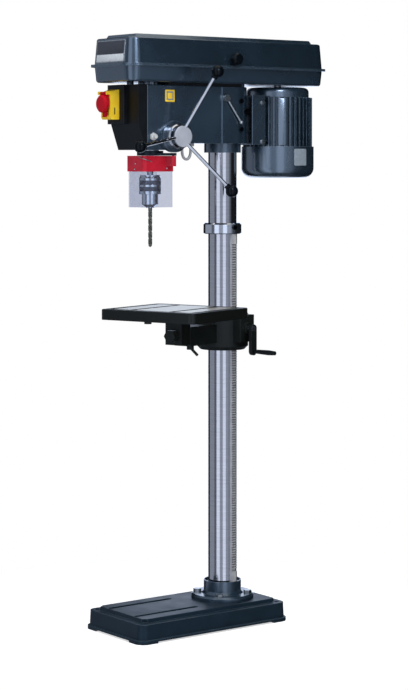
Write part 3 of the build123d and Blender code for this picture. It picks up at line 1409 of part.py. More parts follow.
shaft_end = gearbox_right + crank_boss_stand + crank_stand
with BuildPart() as lift_worm:
    with Locations(crank_axis.offset(pinion_x).location):
        Cylinder(worm_core, worm_length)
    with Locations(crank_axis.offset(pinion_x + worm_length / 2).location):
        Cylinder(crank_shaft_radius, shaft_end - pinion_x - worm_length / 2, align=on_end)
    lead = pi * rack_module
    worm_start = crank_axis.offset(pinion_x - lead * 0.75).origin
    with BuildLine() as thread:
        Helix(lead, lead * 1.5, worm_pitch_radius, center=worm_start, direction=crank_axis.z_dir)
    thread_start = thread.line @ 0
    thread_depth = worm_pitch_radius + worm_addendum - worm_core + running_gap
    with BuildSketch(Plane(origin=thread_start, x_dir=thread_start - worm_start, z_dir=thread.line % 0)):
        with Locations((worm_addendum - thread_depth / 2, 0)):
            Trapezoid(worm_thread, thread_depth, worm_flank, rotation=-90)
    sweep(path=thread.line, is_frenet=True)
lift_worm.part.label = "lift_worm"
export_step(lift_worm.part, "parts/lift_worm.step")

arm_plane = crank_axis.offset(shaft_end - crank_arm_thickness)
with BuildPart(arm_plane) as crank_arm:
    with BuildSketch(arm_plane):
        with Locations((crank_arm_length / 2, 0)):
            SlotCenterToCenter(crank_arm_length, crank_arm_width)
        Circle(crank_shaft_radius, mode=Mode.SUBTRACT)
    extrude(amount=crank_arm_thickness)
    with Locations((crank_arm_length, 0, crank_arm_thickness)):
        Cylinder(crank_pin_radius, crank_grip_length, align=on_end)
crank_arm.part.label = "crank_arm"
export_step(crank_arm.part, "parts/crank_arm.step")

with BuildPart() as crank_grip:
    grip_axis = Plane(crank_axis.offset(shaft_end).location * Location((crank_arm_length, 0, free_gap)))
    turned([(crank_pin_radius + running_gap, 0), (crank_grip_radius * 0.7, 0),
            (crank_grip_radius * 0.85, crank_grip_length * 0.2),
            (crank_grip_radius, crank_grip_length * 0.7),
            (crank_grip_radius * 0.8, crank_grip_length), (0, crank_grip_length + crank_pin_radius / 2),
            (0, crank_grip_length), (crank_pin_radius + running_gap, crank_grip_length)], grip_axis)
crank_grip.part.label = "crank_grip"
export_step(crank_grip.part, "parts/crank_grip.step")

with BuildPart(table_frame) as lock_lever:
    lock_seat = tilt_z - arm_sink
    post(lock_stud_radius, lock_seat - free_gap, lock_seat + lock_stud_depth, lock_x, -lock_y)
    post(lock_hub_radius, lock_seat - free_gap - lock_hub_height, lock_seat - free_gap, lock_x, -lock_y)
    lock_run = Vector(cos(radians(lock_rod_slope)), 0, -sin(radians(lock_rod_slope)))
    lock_eye = (lock_x, -lock_y, lock_seat - lock_hub_height / 2)
    with Locations(Plane(origin=lock_eye, z_dir=lock_run).location):
        Cylinder(lock_rod_radius, lock_rod_length, align=on_end)
lock_lever.part.label = "lock_lever"
export_step(lock_lever.part, "parts/lock_lever.step")

with BuildPart(table_frame) as tilt_bolt:
    lug_face = -lug_front - free_gap
    long_rod(tilt_bolt_radius, lug_face - tilt_head_height, -arm_front + tilt_bolt_depth, 0, tilt_z)
    hexagon(tilt_bolt_head, placed(table_frame, Plane(origin=(0, lug_face, tilt_z), x_dir=(1, 0, 0),
                                                      z_dir=(0, -1, 0))), tilt_head_height)
tilt_bolt.part.label = "tilt_bolt"
export_step(tilt_bolt.part, "parts/tilt_bolt.step")

with BuildPart(table_frame) as table:
    table_under = table_top - table_edge
    rounded_plate(placed(table_frame, Plane.XY.offset(table_under)), table_width, table_depth, table_corner,
                  -table_reach, table_edge)
    fillet(table.edges().group_by(Axis.Z)[-1], table_rounding)
    rounded_plate(placed(table_frame, Plane.XY.offset(table_under)), table_width - 2 * table_rim,
                  table_depth - 2 * table_rim, table_corner / 2, -table_reach, table_edge - table_plate,
                  mode=Mode.SUBTRACT)
    for x in (-table_slot_spacing / 2 - table_slot_width, table_slot_spacing / 2 + table_slot_width):
        block(x - table_rib / 2, x + table_rib / 2, -table_reach - table_depth / 2 + table_rim,
              -table_reach + table_depth / 2 - table_rim, table_under, table_top - table_plate)
    block(-lug_half_width, lug_half_width, -lug_front, -arm_front - free_gap, tilt_z - lug_sink,
          table_top - table_plate)
    post(drain_radius, table_under - drain_drop, table_under, 0,
         drain_inset - table_reach - table_depth / 2)
    long_rod(tilt_bolt_radius + running_gap, -lug_front, -arm_front, 0, tilt_z, Mode.SUBTRACT)
    with BuildSketch(placed(table_frame, Plane.XY.offset(table_top))):
        with Locations((0, -table_reach)):
            groove_width = table_width - 2 * table_groove_inset
            groove_length = table_depth - 2 * table_groove_inset
            RectangleRounded(groove_width, groove_length, table_corner)
            RectangleRounded(groove_width - 2 * table_groove_width, groove_length - 2 * table_groove_width,
                             table_corner / 2, mode=Mode.SUBTRACT)
    extrude(amount=-table_groove_depth, mode=Mode.SUBTRACT)
    with BuildSketch(placed(table_frame, Plane.XY.offset(table_top))):
        with Locations((0, -table_reach)):
            with GridLocations(table_slot_spacing, 0, 2, 1):
                SlotOverall(table_slot_length, table_slot_width, rotation=90)
    extrude(amount=-table_plate, mode=Mode.SUBTRACT)
table.part.label = "table"
export_step(table.part, "parts/table.step")
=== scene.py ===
import math

import bpy
import numpy as np
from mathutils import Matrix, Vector


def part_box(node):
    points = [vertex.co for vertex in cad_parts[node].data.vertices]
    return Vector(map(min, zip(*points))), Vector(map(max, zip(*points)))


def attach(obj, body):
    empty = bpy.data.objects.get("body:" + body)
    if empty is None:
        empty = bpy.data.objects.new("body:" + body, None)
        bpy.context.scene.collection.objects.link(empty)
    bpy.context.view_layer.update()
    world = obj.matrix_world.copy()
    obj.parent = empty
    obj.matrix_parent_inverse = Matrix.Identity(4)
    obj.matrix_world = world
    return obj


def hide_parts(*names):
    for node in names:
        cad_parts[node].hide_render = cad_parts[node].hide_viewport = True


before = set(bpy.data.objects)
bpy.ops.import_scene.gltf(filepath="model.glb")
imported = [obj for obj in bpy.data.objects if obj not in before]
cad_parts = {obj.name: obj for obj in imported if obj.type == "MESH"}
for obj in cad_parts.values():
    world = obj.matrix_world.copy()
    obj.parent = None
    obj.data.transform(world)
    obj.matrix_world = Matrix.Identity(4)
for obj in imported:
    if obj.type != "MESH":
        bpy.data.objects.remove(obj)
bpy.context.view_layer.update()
print("frame loaded:", len(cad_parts), "nodes")

# Places that several pieces share, in metres, as the solids have them
places = {"columnY": 0.111, "spindleY": -0.116, "feedY": -0.086, "feedZ": 1.235, "motorY": 0.292,
          "headSide": 0.060}

# Camera at the photograph's place: round to the right, level with the head, looking a little down
cameraSet = {"azimuthDeg": 53.0, "tiltDeg": 1.33, "place": (4.135, -3.064, 1.178), "lens": 106.28,
             "sensor": 36, "shiftY": -0.2, "clipEnd": 60}


def newObject(name, data):
    # An object at the origin, in the scene's collection
    piece = bpy.data.objects.new(name, data)
    bpy.context.collection.objects.link(piece)
    return piece


def photoCamera():
    lens = bpy.data.cameras.new("photoCamera")
    lens.lens, lens.sensor_width = cameraSet["lens"], cameraSet["sensor"]
    lens.shift_y, lens.clip_end = cameraSet["shiftY"], cameraSet["clipEnd"]
    holder = newObject("photoCamera", lens)
    holder.location = cameraSet["place"]
    turn = (90 - cameraSet["tiltDeg"], 0, cameraSet["azimuthDeg"])
    holder.rotation_euler = tuple(math.radians(angle) for angle in turn)
    bpy.context.scene.camera = holder


photoCamera()
bpy.context.scene.view_settings.view_transform = "Standard"
print("camera set")


def linearColour(hexText):
    # sRGB hex to the linear values that shaders take
    parts = [int(hexText[i:i + 2], 16) / 255 for i in (1, 3, 5)]
    return tuple(p / 12.92 if p <= 0.04045 else ((p + 0.055) / 1.055) ** 2.4 for p in parts) + (1.0,)


def setInputs(tree, node, inputs):
    # An input is a value, or a node whose first output is linked, or a (node, output) pair
    for name, value in inputs.items():
        source, output = value if isinstance(value, tuple) and len(value) == 2 else (value, 0)
        if isinstance(source, bpy.types.Node):
            tree.links.new(source.outputs[output], node.inputs[name])
        else:
            node.inputs[name].default_value = value


def addNode(tree, kind, inputs=None, stops=(), **settings):
    # One node with its settings and inputs, and for a colour ramp its two (place, colour) stops
    node = tree.nodes.new("ShaderNode" + kind)
    for name, value in settings.items():
        setattr(node, name, value)
    setInputs(tree, node, inputs or {})
    for element, (place, colour) in zip(node.color_ramp.elements if stops else (), stops):
        element.position, element.color = place, linearColour(colour)
    return node


def ends(word, pair):
    # The two ends of a range, named as the inputs of a node are
    return {word + " Min": pair[0], word + " Max": pair[1]}


def emptyMaterial(name):
    material = bpy.data.materials.new(name)
    material.use_nodes = True
    material.node_tree.nodes.clear()
    return material, material.node_tree


def newSurface(name):
    # An empty material with the piece's own coordinates
    material, tree = emptyMaterial(name)
    return material, tree, (addNode(tree, "TexCoord"), "Object")


def closeSurface(tree, inputs):
    # The shader with its inputs, joined to the material's output
    shader = addNode(tree, "BsdfPrincipled", inputs)
    addNode(tree, "OutputMaterial", {"Surface": shader})
    return shader


# Noise values between which a pattern runs from its dark end to its light one, and the depth of each bump
slowSpan, marksSpan = (0.30, 0.70), (0.25, 0.75)
bumpDepth = {"peel": 0.0004, "marks": 0.0002, "grain": 0.0003}
raySamples = 6  # rays that judge a rounded edge or a hollow


def dressed(tree, look, span, pattern, height, depth):
    # What paint, metal and moulding share: tone and gloss that swing with one pattern, a fine bump from
    # another, and edges rounded to the eye
    tone = addNode(tree, "ValToRGB", {"Fac": pattern}, zip(span, look["tones"]))
    gloss = addNode(tree, "MapRange", {
        "Value": pattern, **ends("From", span), **ends("To", look["roughness"])})
    corner = addNode(tree, "Bevel", {"Radius": look["edgeMm"] / 1000}, samples=raySamples)
    bump = addNode(tree, "Bump", {
        "Height": height, "Strength": look["bump"], "Distance": depth, "Normal": corner})
    shader = closeSurface(tree, {"Base Color": tone, "Roughness": gloss, "Normal": bump})
    return shader, tone, corner


# Paint keeps its tone where the rounded and the true normal agree this far, and turns to the paler edge
# colour, a painted edge highlight on rubbed paint, where they part this far; painted shade dulls the gloss of
# a hollow below the first value of openness and leaves it above the second
edgeWearLightSpan = (0.97, 0.80)
finShade = {"hollow": (0.55, 0.90), "shine": 0.5}


def enamel(name, look):
    # Sprayed enamel: a slow drift of colour, orange peel in the gloss, and rubbed edges painted paler as an
    # edge highlight
    material, tree, place = newSurface(name)
    drift = addNode(tree, "TexNoise", {
        "Vector": place, "Scale": 1000 / look["driftMm"], "Detail": 3.0, "Roughness": 0.6})
    peel = addNode(tree, "TexNoise", {"Vector": place, "Scale": 1000 / look["peelMm"], "Detail": 2.0})
    shader, tone, corner = dressed(tree, look, slowSpan, drift, peel, bumpDepth["peel"])
    facing = addNode(tree, "NewGeometry")
    turn = addNode(tree, "VectorMath", {0: corner, 1: (facing, "Normal")}, operation="DOT_PRODUCT")
    # Painted edge highlight: the paler edge colour is mixed in as the rounded normal turns from the true one
    edgeWearLight = addNode(tree, "MapRange", {
        "Value": (turn, "Value"), **ends("From", edgeWearLightSpan), "To Max": look["edgeWearLightShare"]})
    colour = addNode(tree, "Mix", {"Factor": edgeWearLight, 6: tone, 7: linearColour(look["edge"])}, data_type="RGBA")
    setInputs(tree, shader, {
        "Base Color": (colour, 2), "IOR": look["ior"], "Specular Tint": linearColour(look["gleam"]),
        "Coat Weight": look["coat"], "Coat IOR": look["coatIor"], "Coat Roughness": look["coatRoughness"]})
    if "finShadeMm" in look:
        # Painted shade between fins closer together than this: the gaps lose their gloss and turn darker
        hollow = addNode(tree, "AmbientOcclusion", {"Distance": look["finShadeMm"] / 1000}, samples=raySamples,
                         only_local=True)
        unshadedCoat = addNode(tree, "MapRange", {
            "Value": (hollow, "AO"), **ends("From", finShade["hollow"]), "To Max": look["coat"]})
        shine = addNode(tree, "Math", {0: unshadedCoat, 1: finShade["shine"]}, operation="MULTIPLY")
        setInputs(tree, shader, {"Coat Weight": unshadedCoat, "Specular IOR Level": shine})
    return material


def metal(name, look):
    # Worked metal: tool marks stretched along one direction give the tone, the gloss and a fine bump
    material, tree, place = newSurface(name)
    grain = addNode(tree, "Mapping", {
        "Vector": place, "Scale": tuple(1000 / size for size in look["grainMm"])})
    marks = addNode(tree, "TexNoise", {"Vector": grain, "Scale": 1.0, "Detail": 4.0, "Roughness": 0.65})
    shader = dressed(tree, look, marksSpan, marks, marks, bumpDepth["marks"])[0]
    setInputs(tree, shader, {"Metallic": 1.0})
    return material


# Painted shade on the rack, in a grease colour: how open a hollow is where it begins and where it is full,
# and how much lies on the far edge
rackShade = {"colour": "#17181A", "hollow": (0.95, 0.60), "edgeShadeShare": 0.9}


def moulding(name, look):
    # Moulded plastic, rubber or paint: fine grain in the bump, a slight mottle in colour and gloss
    material, tree, place = newSurface(name)
    mottle = addNode(tree, "TexNoise", {"Vector": place, "Scale": 1000 / look["mottleMm"], "Detail": 3.0})
    grain = addNode(tree, "TexNoise", {"Vector": place, "Scale": 1000 / look["grainMm"], "Detail": 2.0})
    shader, tone = dressed(tree, look, slowSpan, mottle, grain, bumpDepth["grain"])[:2]
    setInputs(tree, shader, {"IOR": look["ior"], "Metallic": look.get("metallic", 0.0)})
    if "shadeHollowMm" in look:
        # Painted shade darkens hollows narrower than this, and a painted shadow runs along to the rack's far
        # edge
        hollow = addNode(tree, "AmbientOcclusion", {"Distance": look["shadeHollowMm"] / 1000}, samples=raySamples,
                         only_local=True)
        fill = addNode(tree, "MapRange", {
            "Value": (hollow, "AO"), **ends("From", rackShade["hollow"]), "To Max": look["shadeHollowFill"]})
        split = addNode(tree, "SeparateXYZ", {"Vector": place})
        edge = addNode(tree, "MapRange", {
            "Value": (split, "Y"), **ends("From", look["shadeEdgeY"]), "To Max": rackShade["edgeShadeShare"]})
        most = addNode(tree, "Math", {0: fill, 1: edge}, operation="MAXIMUM")
        shadedTone = addNode(tree, "Mix", {
            "Factor": most, 6: tone, 7: linearColour(rackShade["colour"])}, data_type="RGBA")
        setInputs(tree, shader, {"Base Color": (shadedTone, 2)})
    return material


def groundTable(name, look):
    # Ground iron on the top face alone; the gutter, slots and sides below it keep their black enamel
    material, tree, place = newSurface(name)
    split = addNode(tree, "SeparateXYZ", {"Vector": place})
    top = addNode(tree, "Math", {0: (split, "Z"), 1: look["aboveZ"]}, operation="GREATER_THAN")
    swung = addNode(tree, "Mapping", {"Vector": place, "Location": (0.0, -places["columnY"], 0.0)})
    squared = addNode(tree, "Mapping", {"Vector": swung, "Rotation": (0, 0, -math.radians(look["swingDeg"]))})
    inside = addNode(tree, "SeparateXYZ", {"Vector": squared})
    # Each test gives one or nought: within the land's width, within its length, and on the top
    wide = addNode(tree, "Math", {0: (inside, "X"), 1: 0.0, 2: look["landX"]}, operation="COMPARE")
    long = addNode(tree, "Math", {0: (inside, "Y"), 1: -look["reach"], 2: look["landY"]}, operation="COMPARE")
    land = addNode(tree, "Math", {0: wide, 1: long}, operation="MULTIPLY")
    ground = addNode(tree, "Math", {0: land, 1: top}, operation="MULTIPLY")
    stretched = addNode(tree, "Mapping", {
        "Vector": squared, "Scale": tuple(1000 / size for size in look["grainMm"])})
    marks = addNode(tree, "TexNoise", {"Vector": stretched, "Scale": 1.0, "Detail": 5.0, "Roughness": 0.7})
    bright = addNode(tree, "ValToRGB", {"Fac": marks}, zip(marksSpan, look["tones"]))
    colour = addNode(tree, "Mix", {
        "Factor": ground, 6: linearColour(look["paint"]), 7: bright}, data_type="RGBA")
    rough = addNode(tree, "MapRange", {"Value": ground, **ends("To", look["roughness"])})
    shine = addNode(tree, "Math", {0: ground, 1: look["ironMetal"]}, operation="MULTIPLY")
    corner = addNode(tree, "Bevel", {"Radius": look["edgeMm"] / 1000}, samples=raySamples)
    bump = addNode(tree, "Bump", {
        "Height": marks, "Strength": look["bump"], "Distance": bumpDepth["marks"], "Normal": corner})
    closeSurface(tree, {
        "Base Color": (colour, 2), "Roughness": rough, "Metallic": shine, "IOR": look["ior"], "Normal": bump})
    return material


def clearSheet(name, look):
    # Bent polycarbonate sheet: each face passes a faint tint, with a thin scuffed film over it;
    # the far left wall passes a paler tint than the rest, painted light that lightens that side
    material, tree, place = newSurface(name)
    along = addNode(tree, "SeparateXYZ", {"Vector": place})
    # Painted light: the sheet passes the paler tint up to the first of these x values, and the usual tint
    # past the second
    pastLeftWall = addNode(tree, "MapRange", {"Value": (along, "X"), **ends("From", look["leftWallX"])})
    tinted = addNode(tree, "ValToRGB", {"Fac": pastLeftWall}, [(0.0, look["leftWallPass"]), (1.0, look["pass"])])
    scuff = addNode(tree, "TexNoise", {
        "Vector": place, "Scale": 1000 / look["scuffMm"], "Detail": 5.0, "Roughness": 0.7})
    film, rough = (
        addNode(tree, "MapRange", {"Value": scuff, **ends("From", slowSpan), **ends("To", look[part])})
        for part in ("film", "roughness"))
    shader = addNode(tree, "BsdfPrincipled", {
        "Base Color": linearColour(look["tint"]), "IOR": look["ior"], "Roughness": rough})
    through = addNode(tree, "BsdfTransparent", {"Color": tinted})
    both = addNode(tree, "MixShader", {"Fac": film, 1: through, 2: shader})
    addNode(tree, "OutputMaterial", {"Surface": both})
    return material


def screwFinish(name, look):
    # Blackened screws, all but the bright guide screw: its place picks the plated finish
    material, tree, place = newSurface(name)
    away = addNode(tree, "VectorMath", {0: place, 1: look["brightAt"]}, operation="DISTANCE")
    bright = addNode(tree, "Math", {0: (away, "Value"), 1: look["brightWithin"]}, operation="LESS_THAN")
    bloom = addNode(tree, "TexNoise", {"Vector": place, "Scale": 1000 / look["bloomMm"], "Detail": 3.0})
    black, plated = (addNode(tree, "ValToRGB", {"Fac": bloom}, zip(slowSpan, look[part]))
                     for part in ("black", "plated"))
    colour = addNode(tree, "Mix", {"Factor": bright, 6: black, 7: plated}, data_type="RGBA")
    rough = addNode(tree, "MapRange", {
        "Value": bloom, **ends("From", slowSpan), **ends("To", look["roughness"])})
    corner = addNode(tree, "Bevel", {"Radius": look["edgeMm"] / 1000}, samples=raySamples)
    sheen = addNode(tree, "Math", {0: bright, 1: look["platedMetal"] - 1, 2: 1.0}, operation="MULTIPLY_ADD")
    closeSurface(tree, {"Base Color": (colour, 2), "Roughness": rough, "Normal": corner, "Metallic": sheen})
    return material


# Stoved enamel over filled castings: dark slate blue, semi-gloss, with rubbed corners painted paler as a
# highlight
slateEnamel = enamel("slateEnamel", {
    "tones": ("#131F29", "#182631"), "edge": "#60758A", "edgeWearLightShare": 0.40, "driftMm": 120, "peelMm": 2.2,
    "bump": 0.10, "edgeMm": 2.2, "roughness": (0.19, 0.31), "ior": 1.90, "gleam": "#C4E4FF", "coat": 0.9,
    "coatIor": 1.85, "coatRoughness": 0.14})
# The castings under the lid get a slightly lighter copy of it: painted light that leaves the lid above darker
headLitEnamel = enamel("headLitEnamel", {
    "tones": ("#172531", "#1F2F3D"), "edge": "#64798C", "edgeWearLightShare": 0.70, "driftMm": 120, "peelMm": 2.2,
    "bump": 0.12, "edgeMm": 2.0, "roughness": (0.23, 0.35), "ior": 1.80, "gleam": "#C4E4FF", "coat": 0.8,
    "coatIor": 1.80, "coatRoughness": 0.18})
# The same enamel on a rough iron base: duller, with the casting's grain showing through
castEnamel = enamel("castEnamel", {
    "tones": ("#12202B", "#192935"), "edge": "#5A6D7C", "edgeWearLightShare": 0.60, "driftMm": 60, "peelMm": 3.0,
    "bump": 0.16, "edgeMm": 2.6, "roughness": (0.37, 0.49), "ior": 1.32, "gleam": "#DDEEFF", "coat": 0.0,
    "coatIor": 1.50, "coatRoughness": 0.30})
# Motor housing: slate enamel on die-cast aluminium, thicker and glossier
motorEnamel = enamel("motorEnamel", {
    "tones": ("#182632", "#1F2F3C"), "edge": "#7A8EA2", "edgeWearLightShare": 0.80, "driftMm": 70, "peelMm": 1.8,
    "bump": 0.10, "edgeMm": 1.3, "roughness": (0.21, 0.33), "ior": 2.00, "gleam": "#C4E4FF", "coat": 1.0,
    "coatIor": 2.00, "coatRoughness": 0.18, "finShadeMm": 9})
# Black enamel on the table's iron castings: satin, slightly green
blackEnamel = enamel("blackEnamel", {
    "tones": ("#0C0F0D", "#131714"), "edge": "#333A35", "edgeWearLightShare": 0.4, "driftMm": 50, "peelMm": 2.6,
    "bump": 0.20, "edgeMm": 2.0, "roughness": (0.45, 0.57), "ior": 1.38, "gleam": "#FFFFFF", "coat": 0.0,
    "coatIor": 1.50, "coatRoughness": 0.30})
# Ground and polished tube: fine rings round it
groundTube = metal("groundTube", {
    "tones": ("#B9B6B6", "#D8D4D4"), "grainMm": (60, 60, 0.9), "roughness": (0.08, 0.14), "bump": 0.03,
    "edgeMm": 0.8})
# Turned steel: rings from the lathe tool, satin
turnedSteel = metal("turnedSteel", {
    "tones": ("#A9A8AB", "#CFCED1"), "grainMm": (12, 12, 1.2), "roughness": (0.18, 0.30), "bump": 0.08,
    "edgeMm": 0.7})
# Chrome plate: a mirror with faint polishing haze
chromePlate = metal("chromePlate", {
    "tones": ("#D2D0D0", "#E4E2E2"), "grainMm": (25, 25, 25), "roughness": (0.06, 0.12), "bump": 0.02,
    "edgeMm": 0.6})
# Chrome on the chuck's shell, brighter and clearer than the rest: painted light making up for what the guard
# sheet takes
chuckLitChrome = metal("chuckLitChrome", {
    "tones": ("#ECEEE8", "#F8FAF4"), "grainMm": (25, 25, 25), "roughness": (0.04, 0.08), "bump": 0.01,
    "edgeMm": 0.6})
# Steam-oxidised high-speed steel: dull bronze-grey
oxideSteel = metal("oxideSteel", {
    "tones": ("#5A584F", "#7C7A70"), "grainMm": (2, 2, 5), "roughness": (0.28, 0.42), "bump": 0.08,
    "edgeMm": 0.3})
# Zinc-plated fasteners: pale grey with a slight bloom
zincPlate = metal("zincPlate", {
    "tones": ("#A5A7A6", "#CBCDCB"), "grainMm": (5, 5, 5), "roughness": (0.22, 0.36), "bump": 0.08,
    "edgeMm": 0.5})
# Die-cast pulleys, turned in their grooves
castAluminium = metal("castAluminium", {
    "tones": ("#A6A7AA", "#C9CACD"), "grainMm": (8, 8, 1.0), "roughness": (0.28, 0.42), "bump": 0.12,
    "edgeMm": 0.8})
# Blued spring strip: dark blue-grey, satin
bluedStrip = metal("bluedStrip", {
    "tones": ("#3C4050", "#565B70"), "grainMm": (3, 3, 8), "roughness": (0.25, 0.35), "bump": 0.05,
    "edgeMm": 0.2})
# Blackened steel: dark oxide over turned marks
blackOxide = metal("blackOxide", {
    "tones": ("#1E2124", "#303439"), "grainMm": (10, 10, 1.5), "roughness": (0.26, 0.38), "bump": 0.08,
    "edgeMm": 0.6})
# Knurled bands of the chuck and barrel of the feed hub: steel in a darker tone than the chrome
gunmetal = metal("gunmetal", {
    "tones": ("#4C5056", "#686C72"), "grainMm": (10, 10, 1.5), "roughness": (0.07, 0.13), "bump": 0.02,
    "edgeMm": 0.3})
# Turned and polished band round the column, brighter than the tube
bandSteel = metal("bandSteel", {
    "tones": ("#D2D2D4", "#E4E4E5"), "grainMm": (40, 40, 1.2), "roughness": (0.09, 0.15), "bump": 0.03,
    "edgeMm": 0.7})
# ABS cover with a fine moulded grain, black and dull
blackMoulding = moulding("blackMoulding", {
    "tones": ("#06080A", "#0B0E11"), "mottleMm": 40, "grainMm": 1.4, "roughness": (0.42, 0.52),
    "bump": 0.16, "edgeMm": 1.2, "ior": 1.32})
# Phenolic ball knobs: deep black with a hard shine
phenolicBall = moulding("phenolicBall", {
    "tones": ("#04080C", "#080D12"), "mottleMm": 20, "grainMm": 3.0, "roughness": (0.04, 0.14),
    "bump": 0.02, "edgeMm": 0.8, "ior": 1.24})
# Switch body: yellow moulding, satin
yellowMoulding = moulding("yellowMoulding", {
    "tones": ("#F5C81A", "#FAD834"), "mottleMm": 18, "grainMm": 1.0, "roughness": (0.34, 0.44),
    "bump": 0.10, "edgeMm": 0.9, "ior": 1.50})
# Guard collar: red moulding a little faded by use, glossy
guardRed = moulding("guardRed", {
    "tones": ("#BC1A30", "#CA2439"), "mottleMm": 25, "grainMm": 1.6, "roughness": (0.12, 0.22),
    "bump": 0.03, "edgeMm": 0.9, "ior": 1.36})
# Stop paddle and button: deeper red, satin
stopRed = moulding("stopRed", {
    "tones": ("#B2061C", "#BE0C22"), "mottleMm": 25, "grainMm": 1.6, "roughness": (0.42, 0.52),
    "bump": 0.05, "edgeMm": 0.9, "ior": 1.26})
# Start button: green moulding
greenMoulding = moulding("greenMoulding", {
    "tones": ("#0F7A34", "#16933F"), "mottleMm": 8, "grainMm": 1.0, "roughness": (0.26, 0.36),
    "bump": 0.06, "edgeMm": 0.5, "ior": 1.50})
# Vee belts and strips: dull black rubber
beltRubber = moulding("beltRubber", {
    "tones": ("#121213", "#1D1D1F"), "mottleMm": 6, "grainMm": 1.2, "roughness": (0.68, 0.78),
    "bump": 0.30, "edgeMm": 0.4, "ior": 1.50})
# Sheathed lead in pale grey PVC
greySheath = moulding("greySheath", {
    "tones": ("#9DA0A8", "#B4B7BF"), "mottleMm": 9, "grainMm": 1.5, "roughness": (0.32, 0.42),
    "bump": 0.06, "edgeMm": 0.3, "ior": 1.53})
# Silver-painted cap of the feed hub: pale and even, with a soft metallic sheen
silverPaint = moulding("silverPaint", {
    "tones": ("#B9BECB", "#C6CBD8"), "mottleMm": 30, "grainMm": 1.5, "roughness": (0.32, 0.42),
    "bump": 0.04, "edgeMm": 0.8, "ior": 1.50, "metallic": 0.35})
# Milled rack: steel dulled by an oil film, with painted shade in the teeth and a painted shadow along the far
# edge
milledSteel = moulding("milledSteel", {
    "tones": ("#BABCC2", "#D2D4D9"), "mottleMm": 14, "grainMm": 1.2, "roughness": (0.30, 0.40),
    "bump": 0.08, "edgeMm": 0.3, "ior": 1.50, "metallic": 0.30, "shadeHollowMm": 4, "shadeHollowFill": 0.62,
    "shadeEdgeY": (0.1212, 0.1232)})
# Etched aluminium plates: flat pale grey, the same with a darker printed ground, and a nearly black one
etchedPlate = moulding("etchedPlate", {
    "tones": ("#CAD2DC", "#DBE2EA"), "mottleMm": 6, "grainMm": 1.2, "roughness": (0.40, 0.50),
    "bump": 0.06, "edgeMm": 0.3, "ior": 1.50})
printedPlate = moulding("printedPlate", {
    "tones": ("#75818D", "#8894A0"), "mottleMm": 4, "grainMm": 1.2, "roughness": (0.40, 0.50),
    "bump": 0.06, "edgeMm": 0.3, "ior": 1.50})
darkPlate = moulding("darkPlate", {
    "tones": ("#2D3038", "#393D46"), "mottleMm": 9, "grainMm": 1.2, "roughness": (0.36, 0.46),
    "bump": 0.05, "edgeMm": 0.3, "ior": 1.50})
# Clear guard sheet, faintly violet
clearGuard = clearSheet("clearGuard", {
    "pass": "#DEE1EA", "leftWallPass": "#F6F7FA", "leftWallX": (-0.0355, -0.0315), "tint": "#C9CBE2",
    "film": (0.03, 0.08), "roughness": (0.10, 0.22), "scuffMm": 12, "ior": 1.58})
# Screws of the head: blackened steel, the guide screw left bright zinc
headScrew = screwFinish("headScrew", {
    "brightAt": (0.064, -0.138, 1.235), "brightWithin": 0.03, "bloomMm": 5, "plated": ("#C4C8C9", "#E2E5E6"),
    "platedMetal": 0.3, "black": ("#15181B", "#23272B"), "roughness": (0.26, 0.40), "edgeMm": 0.5})
# Table: ground top inside a painted gutter; iron from just under the top up, with the roughness of the paint
# and then of the iron
tableIron = groundTable("tableIron", {
    "aboveZ": 0.8098, "swingDeg": 19, "reach": 0.213, "landX": 0.1155, "landY": 0.101,
    "grainMm": (90, 1.6, 20), "tones": ("#AEA99A", "#DAD4C4"), "ironMetal": 0.75, "paint": "#0F120F",
    "roughness": (0.42, 0.34), "ior": 1.38, "edgeMm": 1.5, "bump": 0.25})
print("materials made")

# Lead that loops out of the head and back in: a short hanging stretch between two glands
leadLook = {"diameter": 0.007, "length": 0.0931, "x": 0.040, "glandY": -0.047, "headZ": 1.219,
            "glandDrop": 0.0075, "roundness": 5, "smoothness": 8,
            "route": [(0.0, 0.0), (0.0, -0.0140), (0.0008, -0.0290), (0.0080, -0.0400),
                      (0.0190, -0.0400), (0.0262, -0.0290), (0.0270, -0.0140), (0.0270, 0.0)]}


def leadLoop():
    # One smooth spline with the listed points as its control points, hanging under its own weight
    curve = bpy.data.curves.new("supply_lead", "CURVE")
    curve.dimensions = "3D"
    curve.bevel_depth = leadLook["diameter"] / 2
    curve.bevel_resolution = leadLook["roundness"]
    curve.use_fill_caps = True
    spline = curve.splines.new("NURBS")
    spline.points.add(len(leadLook["route"]) - 1)
    for point, (y, z) in zip(spline.points, leadLook["route"]):
        point.co = (leadLook["x"], leadLook["glandY"] + y, leadLook["headZ"] + z, 1.0)
    spline.order_u = 3
    spline.use_endpoint_u = True
    spline.resolution_u = leadLook["smoothness"]
    curve.materials.append(greySheath)
    return newObject("supply_lead", curve)


lead = leadLoop()
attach(lead, "stand")
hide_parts("cable_loop")
print("lead made")

